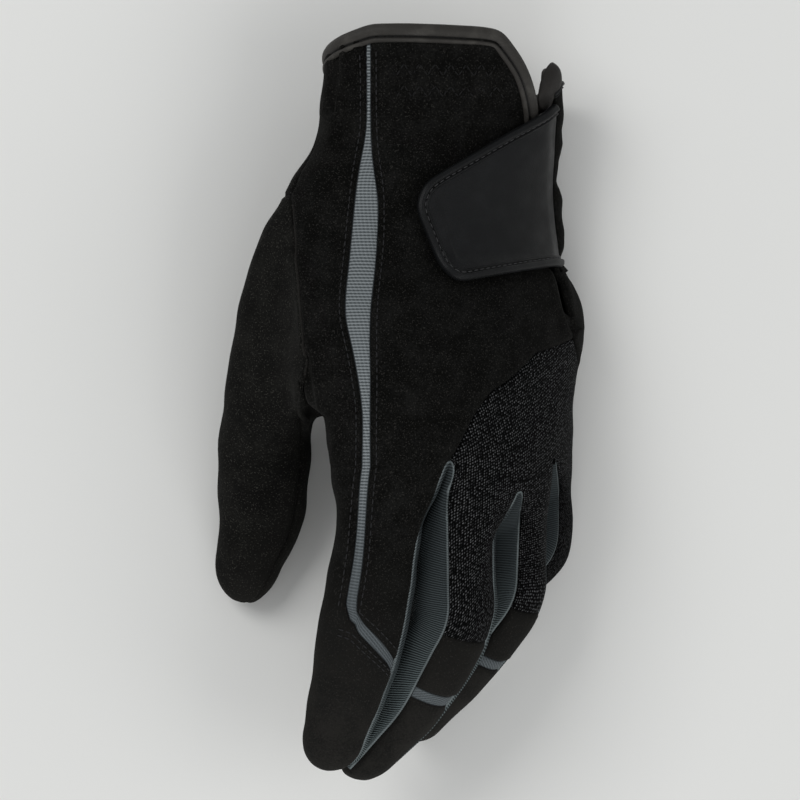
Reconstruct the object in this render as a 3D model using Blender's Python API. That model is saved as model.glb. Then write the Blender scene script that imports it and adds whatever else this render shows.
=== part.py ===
"""A golf glove for the left hand, lying as a relaxed hand leaves it, back up and little finger down.

The skin is worked out as one surface of quads. The hand is a flattened section, bent to the arch of the
knuckles, carried from the cuff to the fingers. Each finger and the thumb is a tube along its bones that
leaves the hand by its own opening. Every seam follows a grid line, so each sewn panel is a set of quads,
pulled back by half a seam and given its thickness. The bindings are channels swept along the cut edges,
and the closure is a stack of plates laid over the wrist.
X runs from the thumb side to the little finger, Y to the cuff and Z up. Lengths here are millimetres.
"""

from dataclasses import dataclass

import bpy
import numpy as np

MM = 0.001

# Cloth: the wall of each kind, the gap at a seam, and how much a wall may thin at a sharp fold
SUEDE_WALL = 1.1
STRETCH_WALL = 0.9
KNIT_WALL = 1.2
SEAM_GAP = 0.3
MITRE_SOFTNESS = 0.02
CORNER_SOFTNESS = 0.01

# How far the resting side is pressed flat, and how square a section of the hand is (1 is an ellipse)
PRESS = 0.8
SQUARENESS = 0.85


@dataclass(frozen=True)
class Station:
    """A section across the hand at one Y: edges seen from above, thickness, and lean and arch in degrees."""

    y: float
    left: float
    right: float
    thickness: float
    lean: float
    arch: float


HAND_STATIONS = (
    Station(-70.0, -22.0, 51.6, 26.0, 44.0, 86.0),
    Station(-18.0, -22.0, 51.6, 26.0, 44.0, 86.0),
    Station(5.0, -29.5, 52.5, 29.0, 40.0, 74.0),
    Station(24.0, -34.0, 55.0, 31.0, 35.5, 60.0),
    Station(45.0, -35.5, 46.8, 34.0, 31.0, 48.0),
    Station(64.0, -35.0, 44.8, 37.0, 29.0, 38.0),
    Station(78.0, -26.5, 45.4, 39.0, 27.0, 30.0),
    Station(95.0, -23.5, 47.0, 41.0, 25.0, 25.0),
    Station(116.0, -21.5, 47.0, 42.0, 23.0, 25.0),
)

# The cuff is held off the table by this much, from this Y on and over this length
CUFF_LIFT = 2.4
CUFF_LIFT_START = 82.0
CUFF_LIFT_LENGTH = 16.0

# Routes of the seams on the back, as Y and X seen from above
THUMB_SEAM = ((64.5, -33.2), (41.8, -31.5), (21.7, -29.6), (13.2, -29.0), (-3.0, -26.6))
STRIPE_LEFT = ((112.0, -11.0), (83.0, -10.9), (73.2, -12.9), (59.7, -14.1), (45.0, -15.5), (27.5, -17.0),
               (18.0, -14.9), (8.4, -13.1), (-3.0, -11.7), (-18.6, -12.0))
STRIPE_RIGHT = ((112.0, -9.2), (83.0, -9.0), (73.2, -7.7), (59.7, -6.6), (45.0, -7.2), (27.5, -9.0),
                (18.0, -9.2), (8.4, -9.0), (-3.0, -9.2), (-18.6, -9.2))
SLIT_BACK = ((111.0, 29.0), (99.0, 37.0), (88.5, 39.6), (70.0, 40.2), (50.0, 42.4), (28.0, 49.0))
FINGER_WEBS = ((-16.5, 14.6), (-26.0, 35.7), (-16.0, 46.4))

# Rows from the cuff to the lower edge of the back panel, then over the knuckle mesh
BACK_ROWS = 18
MESH_ROWS = 5
THUMB_ROWS = (6, 15)
SLIT_ROW = 16
MESH_BOW = 0.6

# Columns round the hand in order, each with the number of quads to the next one
COLUMN_COUNTS = (("side", 2), ("stripe_left", 1), ("stripe_right", 4), ("web1", 3), ("web2", 2),
                 ("web3", 2), ("slit_back", 1), ("slit_palm", 4), ("palm3", 3), ("palm2", 3),
                 ("palm1", 3), ("thumb_palm", 3))
COLUMN_START = dict(zip([name for name, _ in COLUMN_COUNTS],
                        np.cumsum([0] + [n for _, n in COLUMN_COUNTS[:-1]])))
COLUMN_COUNT = sum(n for _, n in COLUMN_COUNTS)

# Y of each column at the cuff, at the lower edge of the back panel and at the fingers
COLUMN_ENDS = {
    "side": (105.0, -18.0, -18.0), "stripe_left": (111.5, -18.3, -18.3),
    "stripe_right": (112.2, -18.3, -18.3), "web1": (112.3, -16.5, -16.5),
    "web2": (112.0, 5.0, -26.0), "web3": (111.6, 15.8, -16.0),
    "slit_back": (110.8, 20.0, -10.0), "slit_palm": (100.5, 18.0, -12.0), "palm3": (99.0, -6.0, -32.0),
    "palm2": (99.0, -14.0, -40.0), "palm1": (99.5, -18.0, -36.0), "thumb_palm": (101.5, -20.0, -20.0),
}

# Angles round the hand: shares of the back at the cuff, the palm's columns there, and lines against Y
WEB_SHARES_AT_CUFF = (0.36, 0.66, 0.86)
PALM_ANGLES_AT_CUFF = (-120.0, -82.0, -42.0)
THUMB_PALM_ANGLES = ((112.0, -156.0), (78.0, -150.0), (64.5, -138.0), (30.0, -118.0), (0.0, -122.0),
                     (-20.0, -138.0))
SLIT_GAPS = ((112.0, 26.0), (88.0, 14.0), (28.0, 5.0), (-12.0, 12.0))
SIDE_ENDS = ((112.0, 188.0), (84.0, 186.0), (-18.0, 184.0))
SLIT_END = (-10.0, -14.0)
CUFF_Y = 112.0


@dataclass(frozen=True)
class Finger:
    """A finger stall: bones from the knuckle out, each with its heading and dip in degrees.

    A heading of 0 points away from the cuff and turns towards the thumb side. Rolls, half widths and half
    depths run from the base over the middle joint to the tip. Seams are the angles round the tube, from
    the little-finger side over the back, of the columns where the panels meet.
    """

    name: str
    start: tuple
    bones: tuple
    headings: tuple
    dips: tuple
    rolls: tuple
    half_widths: tuple
    half_depths: tuple
    cover_start: float
    strip_start: float
    seams: tuple

    @property
    def length(self):
        return sum(self.bones)


INDEX = Finger("index", (-4.0, -19.0), (46.0, 28.0, 19.8), (9.0, 13.5, 17.0), (6.0, 12.0, 18.0),
               (10.0, 10.0, 10.0), (12.4, 13.0, 9.9), (10.4, 10.4, 8.2), 43.0, 43.0,
               (190.0, 128.0, 112.0, 26.0, -42.0, -125.0))
MIDDLE = Finger("middle", (15.9, -19.0), (46.0, 31.5, 27.0), (0.5, 29.0, 42.0), (8.0, 15.0, 18.0),
                (32.0, 42.0, 48.0), (11.2, 12.8, 8.8), (11.4, 11.8, 8.6), 48.0, 66.0,
                (135.0, 45.0, -45.0, -135.0))
RING = Finger("ring", (33.2, -14.0), (44.0, 30.0, 26.0), (0.0, 35.0, 44.0), (8.0, 16.0, 20.0),
              (60.0, 52.0, 50.0), (9.6, 10.2, 8.0), (10.6, 10.6, 8.0), 45.0, 61.0,
              (135.0, 45.0, -45.0, -135.0))
LITTLE = Finger("little", (42.3, -8.0), (36.5, 22.0, 22.0), (-1.0, 58.0, 84.0), (4.0, 5.0, 4.0),
                (80.0, 76.0, 70.0), (8.6, 8.6, 7.0), (9.2, 9.0, 7.2), 43.0, 0.0,
                (135.0, 30.0, 5.0, -135.0))
FINGERS = (INDEX, MIDDLE, RING, LITTLE)

# Lengths of a bent joint, of the blend from hand to finger and of the one at the webs, and the grey strips
JOINT_LENGTH = 16.0
BLEND_LENGTH = 32.0
CROTCH_BLEND = 14.0
STRIP_WIDTH = 3.6
STRIP_SLANT = 12.0
WALL_QUADS = 2
TIP_WALL_ROWS = 2

THUMB = Finger("thumb", (-32.5, 26.0), (42.0, 32.0, 23.0), (15.0, 4.0, 12.0), (32.0, 25.0, 10.0),
               (-6.0, -8.0, -10.0), (14.0, 13.4, 10.5), (13.0, 12.0, 9.0), 0.0, 0.0,
               (170.0, 15.0, -15.0, -170.0))

# How far the thumb sits below the hand's middle, the swell of its ball, and its blend into the hand
THUMB_SINK = 13.2
THUMB_SWELL = 4.0
THUMB_BLEND = 44.0
THUMB_RUN = 56.0
THUMB_STALL_ROWS = 14
THUMB_BACK_QUADS = 8

# Bindings: clearance and wall of the folded strip, and how far each one reaches in over its edge
FOLD_GAP = 0.35
CUFF_FOLD = 0.8
CUFF_REACH = 3.6
TAB_FOLD = 0.6
TAB_REACH = 2.3
SLIT_BINDING_ROWS = 13
EAR_BINDING_ROW = 2

# Closure: heights of its layers over the skin, and its plan
STRIP_LAYER = (0.45, 1.75)
LOOP_LAYER = (0.45, 1.2)
HOOK_LAYER = (1.5, 2.2)
TAB_LAYER = (2.5, 3.7)
TAB_ROOT_DROP = 1.0
TAB_ROOT_RUN = 0.08
ELASTIC_LAYER = (-2.4, -1.6)
TAB_TOP = (88.0, 68.2)
TAB_BOTTOM = (40.0, 35.8)
TAB_END = (0.9, 12.6)
TAB_ROOT_OVERLAP = 0.5
TAB_CORNER = 0.84
TAB_CORNER_CUT = 0.42
STRIP_SPAN = (4.5, 23.0)
STRIP_YS = (90.2, 40.0)
PAD_YS = (65.0, 43.5)
PAD_XS = (17.5, 35.5)
ELASTIC_DROPS = (8.6, 22.6)
ELASTIC_XS = (-5.0, 27.0)


def smooth_line(x, knots):
    """Value at x on a smooth line through (x, value) knots that never overshoots them."""
    knots = np.array(sorted(knots), float)
    xs, ys = knots[:, 0], knots[:, 1]
    step = np.diff(xs)
    rise = np.diff(ys) / step
    slope = np.concatenate(([rise[0]], np.zeros(len(xs) - 2), [rise[-1]]))
    same = rise[:-1] * rise[1:] > 0
    slope[1:-1][same] = 2.0 / (1.0 / rise[:-1][same] + 1.0 / rise[1:][same])
    x = np.clip(x, xs[0], xs[-1])
    i = np.clip(np.searchsorted(xs, x, side="right") - 1, 0, len(xs) - 2)
    t = (x - xs[i]) / step[i]
    return ((1 + 2 * t) * (1 - t) ** 2 * ys[i] + t * (1 - t) ** 2 * step[i] * slope[i]
            + t * t * (3 - 2 * t) * ys[i + 1] + t * t * (t - 1) * step[i] * slope[i + 1])


def ease(t):
    """A share from 0 to 1 that starts and ends without a kink."""
    t = np.clip(t, 0.0, 1.0)
    return t * t * (3 - 2 * t)


def squared(value):
    return np.sign(value) * np.abs(value) ** SQUARENESS


class Hand:
    """The tube of the hand, addressed by the angle round it in degrees and by Y.

    180 is the thumb side, 90 the back, 0 the little-finger side and -90 the palm. The section is a squared
    ellipse whose mid line leans and arches, widened until its edges meet the outline at that Y.
    """

    def __init__(self):
        self.ys = np.arange(HAND_STATIONS[0].y, HAND_STATIONS[-1].y + 1.0, 1.0)
        left, right, thickness, lean, arch = (
            smooth_line(self.ys, [(s.y, getattr(s, name)) for s in HAND_STATIONS])
            for name in ("left", "right", "thickness", "lean", "arch"))
        self.depth = thickness / 2
        self.lean = np.radians(lean)
        self.arch = np.radians(arch)
        angles = np.linspace(-180.0, 180.0, 181)
        self.breadth = (right - left) / 2
        for _ in range(12):
            x, z = self._bend(angles[None, :], self.breadth[:, None], self.depth[:, None],
                              self.lean[:, None], self.arch[:, None])
            self.breadth = self.breadth * (right - left) / (x.max(axis=1) - x.min(axis=1))
        self.x0 = left - x.min(axis=1)
        lift = CUFF_LIFT * ease((self.ys - CUFF_LIFT_START) / CUFF_LIFT_LENGTH)
        self.z0 = lift - PRESS - z.min(axis=1)

    @staticmethod
    def _bend(angle, breadth, depth, lean, arch):
        along = breadth * squared(np.cos(np.radians(angle)))
        above = depth * squared(np.sin(np.radians(angle)))
        curl = arch / (2 * breadth)
        turn = lean + curl * along
        x = (np.sin(turn) - np.sin(lean)) / curl + above * np.sin(turn)
        z = (np.cos(turn) - np.cos(lean)) / curl + above * np.cos(turn)
        return x, z

    def point(self, angle, y):
        angle, y = np.broadcast_arrays(np.asarray(angle, float), np.asarray(y, float))
        at = [np.interp(y, self.ys, row) for row in (self.breadth, self.depth, self.lean, self.arch)]
        x, z = self._bend(angle, *at)
        return np.stack((x + np.interp(y, self.ys, self.x0), y, z + np.interp(y, self.ys, self.z0)), axis=-1)

    def normal(self, angle, y):
        across = self.point(angle - 1.0, y) - self.point(angle + 1.0, y)
        along = self.point(angle, y + 0.5) - self.point(angle, y - 0.5)
        n = np.cross(across, along)
        return n / np.linalg.norm(n, axis=-1, keepdims=True)

    def middle(self, x, y):
        """Point half way between the back and the palm, at x and y seen from above."""
        along = np.linspace(-1.0, 1.0, 201) * np.interp(y, self.ys, self.breadth)
        lean, arch = (np.interp(y, self.ys, row) for row in (self.lean, self.arch))
        curl = arch / (2 * along[-1])
        turn = lean + curl * along
        xs = (np.sin(turn) - np.sin(lean)) / curl + np.interp(y, self.ys, self.x0)
        zs = (np.cos(turn) - np.cos(lean)) / curl + np.interp(y, self.ys, self.z0)
        return np.array((x, y, np.interp(x, xs, zs)))

    def angle_at(self, x, y):
        """Angle on the back whose point lies at x, seen from above."""
        angles = np.linspace(215.0, -35.0, 501)
        xs = self.point(angles, y)[:, 0]
        first, last = int(xs.argmin()), int(xs.argmax())
        return float(np.interp(x, xs[first:last + 1], angles[first:last + 1]))

    def route(self, knots, ends=()):
        """Knots of angle against Y for a seam given by its plan, with any knots given as angles already."""
        return [(y, self.angle_at(x, y)) for y, x in knots] + list(ends)


def between(start, stop, count):
    return np.linspace(start, stop, count + 1)[:-1]


class Skin:
    """Quads of the whole glove, each with the name of its panel."""

    def __init__(self):
        self.grids = []
        self.labels = []

    def add(self, grid, labels):
        self.grids.append(grid)
        self.labels.append(labels)

    def weld(self):
        """Points, faces and panel names of all grids, with shared points merged and empty quads dropped."""
        corners, names = [], []
        for grid, labels in zip(self.grids, self.labels):
            quad = np.stack((grid[:-1, :-1], grid[1:, :-1], grid[1:, 1:], grid[:-1, 1:]), axis=2)
            keep = labels != ""
            corners.append(quad[keep])
            names.append(labels[keep])
        corners = np.concatenate(corners)
        names = np.concatenate(names)
        rounded = np.round(corners.reshape(-1, 3), 3)
        points, index = np.unique(rounded, axis=0, return_inverse=True)
        faces, kept = [], []
        for quad, name in zip(index.reshape(-1, 4), names):
            loop = [a for a, b in zip(quad, np.roll(quad, 1)) if a != b]
            if len(set(loop)) == len(loop) > 2:
                faces.append(tuple(int(a) for a in loop))
                kept.append(str(name))
        return points, faces, kept


def column_angles(hand):
    """Angle against Y of each named column, as knots for a smooth line."""
    knots = {
        "side": hand.route(THUMB_SEAM, SIDE_ENDS),
        "stripe_left": hand.route(STRIPE_LEFT),
        "stripe_right": hand.route(STRIPE_RIGHT),
        "slit_back": hand.route(SLIT_BACK, (SLIT_END,)),
        "thumb_palm": list(THUMB_PALM_ANGLES),
    }
    back = smooth_line(CUFF_Y, knots["slit_back"])
    stripe = smooth_line(CUFF_Y, knots["stripe_right"])
    for i, (y, x) in enumerate(FINGER_WEBS):
        at_web = hand.angle_at(x, y)
        at_cuff = stripe + WEB_SHARES_AT_CUFF[i] * (back - stripe)
        knots[f"web{i + 1}"] = [(CUFF_Y, at_cuff), (y, at_web)]
        palm_end = COLUMN_ENDS[f"palm{i + 1}"][2]
        knots[f"palm{i + 1}"] = [(CUFF_Y, PALM_ANGLES_AT_CUFF[i]), (palm_end, -at_web)]
    ys = np.linspace(CUFF_Y, COLUMN_ENDS["slit_palm"][2], 40)
    knots["slit_palm"] = [(y, smooth_line(y, knots["slit_back"]) - smooth_line(y, SLIT_GAPS)) for y in ys]
    return knots


def hand_grid(hand):
    """Points of the hand, rows from the cuff to the fingers and columns round it, the last as the first."""
    knots = column_angles(hand)
    rows = np.arange(BACK_ROWS + MESH_ROWS + 1)
    down_back = np.clip(rows / BACK_ROWS, 0.0, 1.0)
    over_mesh = np.clip((rows - BACK_ROWS) / MESH_ROWS, 0.0, 1.0)
    lines = {}
    for name, _ in COLUMN_COUNTS:
        cuff, edge, end = COLUMN_ENDS[name]
        y = cuff + (edge - cuff) * down_back + (end - edge) * over_mesh
        lines[name] = (y, smooth_line(y, knots[name]))
    lines["close"] = (lines["side"][0], lines["side"][1] - 360.0)
    names = [name for name, _ in COLUMN_COUNTS] + ["close"]
    ys, angles = [], []
    for (name, count), follower in zip(COLUMN_COUNTS, names[1:]):
        for share in np.arange(count) / count:
            bow = MESH_BOW * np.sin(np.pi * share) * down_back * (1 - over_mesh) if name == "web1" else 0.0
            ys.append(lines[name][0] + share * (lines[follower][0] - lines[name][0]) + bow)
            angles.append(lines[name][1] + share * (lines[follower][1] - lines[name][1]))
    grid = hand.point(np.array(angles).T, np.array(ys).T)
    return np.concatenate((grid, grid[:, :1]), axis=1)


def hand_labels():
    labels = np.full((BACK_ROWS + MESH_ROWS, COLUMN_COUNT), "palm_panel", dtype="<U32")
    at = COLUMN_START
    labels[:, at["side"]:at["stripe_left"]] = "index_side_panel"
    labels[:, at["stripe_left"]:at["stripe_right"]] = "stretch_stripe"
    labels[:, at["stripe_right"]:at["slit_back"]] = "back_panel"
    labels[BACK_ROWS:, at["stripe_right"]:at["slit_back"]] = "knuckle_mesh"
    labels[:SLIT_ROW, at["slit_back"]:at["slit_palm"]] = ""
    labels[THUMB_ROWS[0]:THUMB_ROWS[1], at["thumb_palm"]:] = ""
    return labels


class Tube:
    """A finger's tube along its bones, addressed by the angle round it and by the length along it."""

    def __init__(self, finger, start):
        self.finger = finger
        self.start = start
        first, second, third = finger.bones
        self.s = np.append(np.arange(-80.0, finger.length, 0.5), finger.length)
        bends = [ease((self.s - joint) / JOINT_LENGTH + 0.5) for joint in (first, first + second)]
        heading, dip = (np.radians(a[0] + (a[1] - a[0]) * bends[0] + (a[2] - a[1]) * bends[1])
                        for a in (finger.headings, finger.dips))
        level = np.cos(dip)
        way = np.stack((-np.sin(heading) * level, -np.cos(heading) * level, -np.sin(dip)), axis=-1)
        run = np.cumsum(way, axis=0) * 0.5
        self.centre = start + run - run[np.searchsorted(self.s, 0.0)]
        up = np.array((0.0, 0.0, 1.0)) - way[:, 2:] * way
        up /= np.linalg.norm(up, axis=1, keepdims=True)
        right = np.cross(up, way)
        joints = (0.0, first, finger.length)
        roll = np.radians(smooth_line(self.s, list(zip(joints, finger.rolls))))[:, None]
        self.back = np.cos(roll) * up + np.sin(roll) * right
        self.across = np.cos(roll) * right - np.sin(roll) * up
        self.way = way[np.searchsorted(self.s, 0.0)]
        tip = 1.25 * finger.half_widths[2]
        cap = np.clip((self.s - (finger.length - tip)) / tip, 0.0, 1.0)
        ends = (0.0, first, finger.length - tip)
        self.width, self.depth = (smooth_line(self.s, list(zip(ends, sizes))) * np.sqrt(1.0 - cap ** 2)
                                  for sizes in (finger.half_widths, finger.half_depths))

    def point(self, angle, s):
        turn = np.radians(np.broadcast_to(angle, np.shape(s)))[..., None]
        centre, across, back = (
            np.stack([np.interp(s, self.s, axis[:, k]) for k in range(3)], axis=-1)
            for axis in (self.centre, self.across, self.back))
        width, depth = (np.interp(s, self.s, size)[..., None] for size in (self.width, self.depth))
        return centre + across * width * np.cos(turn) + back * depth * np.sin(turn)


def stall_grid(tube, base, angles, rows, lean, blend, run):
    """Rows of a stall from its base loop to its tip. Each ring is the tube's, plus a part of the offset
    between the tube and the loop that fades over the blend, while its slant fades evenly over the run.
    lean adds length to a row at chosen columns."""
    offset_s = (base - tube.start) @ tube.way
    offset = base - tube.point(angles, offset_s)
    fade = 1.0 - ease(rows[:, None] / blend)
    slant = np.clip(1.0 - rows / run, 0.0, 1.0)[:, None]
    s = np.minimum(rows[:, None] + offset_s * slant + lean, tube.finger.length)
    grid = tube.point(np.broadcast_to(angles, s.shape), s) + fade[..., None] * offset
    grid[0] = base
    return np.concatenate((grid, grid[:, :1]), axis=1)


def finger_rows(finger):
    """Lengths of the rows of a stall, and the rows where its cover, its strip and its tip start."""
    rows = list(between(0.0, finger.cover_start, 6))
    cover = len(rows)
    if finger.strip_start > finger.cover_start:
        rows += list(between(finger.cover_start, finger.strip_start, 3))
    strip = len(rows)
    tip_start = finger.cover_start
    if finger.strip_start:
        rows.append(finger.strip_start)
        tip_start = finger.strip_start + STRIP_WIDTH
    tip = len(rows)
    rows += list(tip_start + (finger.length - tip_start) * np.sin(np.linspace(0.0, np.pi / 2, 8)))
    return np.array(rows), cover, strip, tip


def crotch(web, palm):
    """Inner points of the line from a web on the back to the web on the palm, between two fingers."""
    share = np.arange(1, WALL_QUADS)[:, None] / WALL_QUADS
    return web + share * (palm - web)


def loop_angles(seams, counts):
    """Angles of a stall's columns: the seams' angles, shared out over the quads between them."""
    ends = list(seams[1:]) + [seams[0] - 360.0]
    return np.concatenate([between(a, b, n) for a, b, n in zip(seams, ends, counts)])


def add_fingers(skin, hand, grid):
    last = grid[-1]
    at = COLUMN_START
    crotches = [crotch(last[at[f"web{i}"]], last[at[f"palm{i}"]]) for i in (1, 2, 3)]
    walls = ["index_middle_gusset", "middle_ring_gusset", "ring_little_gusset"]
    counts = dict(COLUMN_COUNTS)
    for i, finger in enumerate(FINGERS):
        tube = Tube(finger, hand.middle(*finger.start))
        rows, cover, strip, tip = finger_rows(finger)
        back = ["side", "stripe_left", "stripe_right"] if i == 0 else [f"web{i}"]
        if i == 3:
            back += ["slit_back", "slit_palm"]
            base = [last[at["web3"]:at["palm3"]], last[at["palm3"]][None], crotches[2][::-1]]
            spans = [counts["web3"], counts["slit_back"], counts["slit_palm"], WALL_QUADS]
        else:
            base = [last[at[back[0]]:at[f"web{i + 1}"]], last[at[f"web{i + 1}"]][None], crotches[i]]
            spans = [counts[name] for name in back] + [WALL_QUADS]
            stop = at["thumb_palm"] + counts["thumb_palm"] if i == 0 else at[f"palm{i}"] + 1
            base.append(last[at[f"palm{i + 1}"]:stop])
            spans.append(counts[f"palm{i + 1}"])
            if i == 0:
                spans.append(counts["thumb_palm"])
            else:
                base.append(crotches[i - 1][::-1])
                spans.append(WALL_QUADS)
        base = np.concatenate(base)
        wall_starts = ((3,), (1, 3), (1, 3), (3,))[i]
        angles = loop_angles(finger.seams, spans)
        ends = np.cumsum([0] + spans)
        lean = np.zeros((len(rows), len(angles)))
        labels = np.full((len(rows) - 1, len(angles)), "palm_panel", dtype="<U32")
        full = len(rows) - 1 - TIP_WALL_ROWS
        if i == 0:
            rise = np.minimum(rows / finger.strip_start,
                              (finger.length - rows) / (finger.length - finger.strip_start - STRIP_WIDTH))
            slope = np.interp(np.arange(len(angles)), (ends[2], ends[3], ends[4]), (0.0, 1.0, 0.0))
            slope[:ends[2]] = slope[ends[4]:] = 0.0
            lean = STRIP_SLANT * np.clip(rise, 0.0, 1.0)[:, None] * slope
            labels[:, ends[0]:ends[3]] = "index_side_panel"
            labels[:strip, ends[2]:ends[3]] = "back_panel"
            labels[:tip, ends[1]:ends[2]] = "stretch_stripe"
            labels[strip:tip, ends[2]:ends[3]] = "stretch_stripe"
            labels[:full, ends[3]:ends[4]] = walls[0]
            labels[full:, ends[3]:ends[3] + 1] = "index_side_panel"
        else:
            name = finger.name
            labels[:cover, ends[0]:ends[1]] = "knuckle_mesh"
            labels[cover:strip, ends[0]:ends[1]] = f"{name}_finger_band"
            labels[strip:tip, ends[0]:ends[1]] = f"{name}_stretch_strip"
            labels[tip:, ends[0]:ends[1]] = f"{name}_fingertip"
            labels[:full, ends[-2]:] = walls[i - 1]
            labels[full:, ends[-2] + 1:] = f"{name}_fingertip"
            if i < 3:
                labels[:full, ends[1]:ends[2]] = walls[i]
                labels[full:, ends[1]:ends[1] + 1] = f"{name}_fingertip"
        blend = np.full(len(angles), BLEND_LENGTH)
        for first in wall_starts:
            blend[np.arange(ends[first], ends[first + 1] + 1) % len(angles)] = CROTCH_BLEND
        skin.add(stall_grid(tube, base, angles, rows, lean, blend, finger.cover_start), labels)


def add_thumb(skin, hand, grid):
    """The thumb leaves the side of the hand by the hole between its two seams."""
    first, last = THUMB_ROWS
    edge = COLUMN_START["thumb_palm"]
    base = np.concatenate((grid[first:last, 0], grid[last, COLUMN_COUNT:edge:-1],
                           grid[last:first:-1, edge], grid[first, edge:COLUMN_COUNT]))
    spans = [last - first, COLUMN_COUNT - edge, last - first, COLUMN_COUNT - edge]
    tube = Tube(THUMB, hand.middle(*THUMB.start) - np.array((0.0, 0.0, THUMB_SINK)))
    rows = THUMB.length * np.sin(np.linspace(0.0, np.pi / 2, THUMB_STALL_ROWS + 1) ** 1.15
                                 * (np.pi / 2) ** -0.15)
    angles = loop_angles(THUMB.seams, spans)
    labels = np.full((THUMB_STALL_ROWS, len(angles)), "thumb_palm_panel", dtype="<U32")
    labels[:, :THUMB_BACK_QUADS] = "thumb_back_panel"
    labels[:, spans[0] + spans[1] + spans[2]:] = "thumb_back_panel"
    stall = stall_grid(tube, base, angles, rows, 0.0, THUMB_BLEND, THUMB_RUN)
    swell = np.sin(np.pi * np.clip(rows / THUMB_BLEND, 0.0, 1.0))[:, None]
    outer = np.clip(-np.cos(np.radians(np.append(angles, angles[0]))), 0.0, 1.0)
    stall[..., 0] -= THUMB_SWELL * swell * outer
    skin.add(stall, labels)


def point_normals(points, faces):
    normals = np.zeros_like(points)
    for face in faces:
        corner = points[list(face)]
        normals[list(face)] += np.cross(corner[2] - corner[0], corner[-1] - corner[1])
    return normals / np.linalg.norm(normals, axis=1, keepdims=True)


def wall_steps(points, faces):
    """Step from each point into the wall, per millimetre of wall, so that the wall keeps its thickness
    next to every face that meets there, in the valleys between the fingers as well."""
    around = [[] for _ in points]
    for face in faces:
        corner = points[list(face)]
        area = np.cross(corner[2] - corner[0], corner[-1] - corner[1])
        for a in face:
            around[a].append(area / np.linalg.norm(area))
    steps = np.zeros_like(points)
    for k, sides in enumerate(around):
        rows = np.array(sides)
        steps[k] = -np.linalg.solve(rows.T @ rows + MITRE_SOFTNESS * len(rows) * np.eye(3), rows.sum(axis=0))
    return steps


def split(points, face):
    """A quad as two triangles along its shorter diagonal, so that a wall's two sides fold alike."""
    if len(face) == 3:
        return [face]
    a, b, c, d = face
    if np.linalg.norm(points[a] - points[c]) < np.linalg.norm(points[b] - points[d]):
        return [(a, b, c), (a, c, d)]
    return [(a, b, d), (b, c, d)]


def cut_panel(points, normals, steps, faces, wall):
    """A panel as a closed sheet: its edge drawn back by half a seam, and its wall added inwards."""
    edges = {(a, b) for face in faces for a, b in zip(face, face[1:] + face[:1])}
    rim, inward = [], {}
    for face in faces:
        corner = points[list(face)]
        area = np.cross(corner[2] - corner[0], corner[-1] - corner[1])
        for a, b in zip(face, face[1:] + face[:1]):
            if (b, a) not in edges:
                rim.append((a, b))
                side = np.cross(area, points[b] - points[a])
                for end in (a, b):
                    inward.setdefault(end, []).append(side / np.linalg.norm(side))
    used = sorted({a for face in faces for a in face})
    place = {a: k for k, a in enumerate(used)}
    outer = points[used].copy()
    for a, sides in inward.items():
        rows = np.array(sides)
        pull = np.linalg.solve(rows @ rows.T + CORNER_SOFTNESS * np.eye(len(rows)), np.ones(len(rows)))
        outer[place[a]] += SEAM_GAP / 2 * pull @ rows
    inner = outer + steps[used] * wall
    outer[:, 2] = np.maximum(outer[:, 2], 0.0)
    inner[:, 2] = np.maximum(inner[:, 2], wall * np.maximum(-normals[used][:, 2], 0.0))
    count = len(used)
    faces = [part for face in faces for part in split(points, face)]
    shell = [[place[a] for a in face] for face in faces]
    lining = [[place[a] + count for a in reversed(face)] for face in faces]
    edge = []
    for a, b in rim:
        far = b if a < b else a
        edge.append([place[b], place[a], place[far] + count])
        edge.append([place[min(a, b)], place[a] + count, place[b] + count])
    return np.concatenate((outer, inner)), shell + lining + edge


def fold_profile(wall, fold, reach):
    """Section of a folded strip round an edge: distance out from the edge, and height over the skin."""
    top = FOLD_GAP + fold
    low = -wall - top
    return np.array(((-reach, FOLD_GAP), (-reach, top), (-0.6, top), (top - 0.3, top - 0.4), (top, -wall / 2),
                     (top - 0.3, low + 0.4), (-0.6, low), (-reach, low), (-reach, -wall - FOLD_GAP),
                     (FOLD_GAP, -wall - FOLD_GAP), (FOLD_GAP, FOLD_GAP)))


def sweep(path, normals, profile):
    """A closed body with one ring of the profile at each path point, the body lying left of the path."""
    step = np.diff(path, axis=0)
    step /= np.linalg.norm(step, axis=1, keepdims=True)
    before = np.concatenate((step[:1], step))
    after = np.concatenate((step, step[-1:]))
    along = before + after
    along /= np.linalg.norm(along, axis=1, keepdims=True)
    out = np.cross(along, normals)
    out /= np.linalg.norm(out, axis=1, keepdims=True) * np.sum(along * after, axis=1, keepdims=True)
    rings = path[:, None] + profile[None, :, :1] * out[:, None] + profile[None, :, 1:] * normals[:, None]
    count = len(profile)
    index = np.arange(len(path) * count).reshape(len(path), count)
    turned = np.roll(index, -1, axis=1)
    faces = np.stack((index[:-1], turned[:-1], turned[1:], index[1:]), axis=2).reshape(-1, 4)
    return rings.reshape(-1, 3), faces.tolist() + [index[0, ::-1].tolist(), index[-1].tolist()]


def cuff_binding(grid, normals_of):
    """The binding, up the back edge of the slit, round the wrist and a short way down the palm edge."""
    back, palm = COLUMN_START["slit_back"], COLUMN_START["slit_palm"]
    cells = [(row, back) for row in range(SLIT_BINDING_ROWS, 0, -1)]
    cells += [(0, column) for column in range(back, 0, -1)]
    cells += [(0, column) for column in range(COLUMN_COUNT, palm - 1, -1)]
    cells += [(EAR_BINDING_ROW, palm)]
    path = np.array([grid[cell] for cell in cells])
    return sweep(path, normals_of(path), fold_profile(SUEDE_WALL, CUFF_FOLD, CUFF_REACH))


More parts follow.
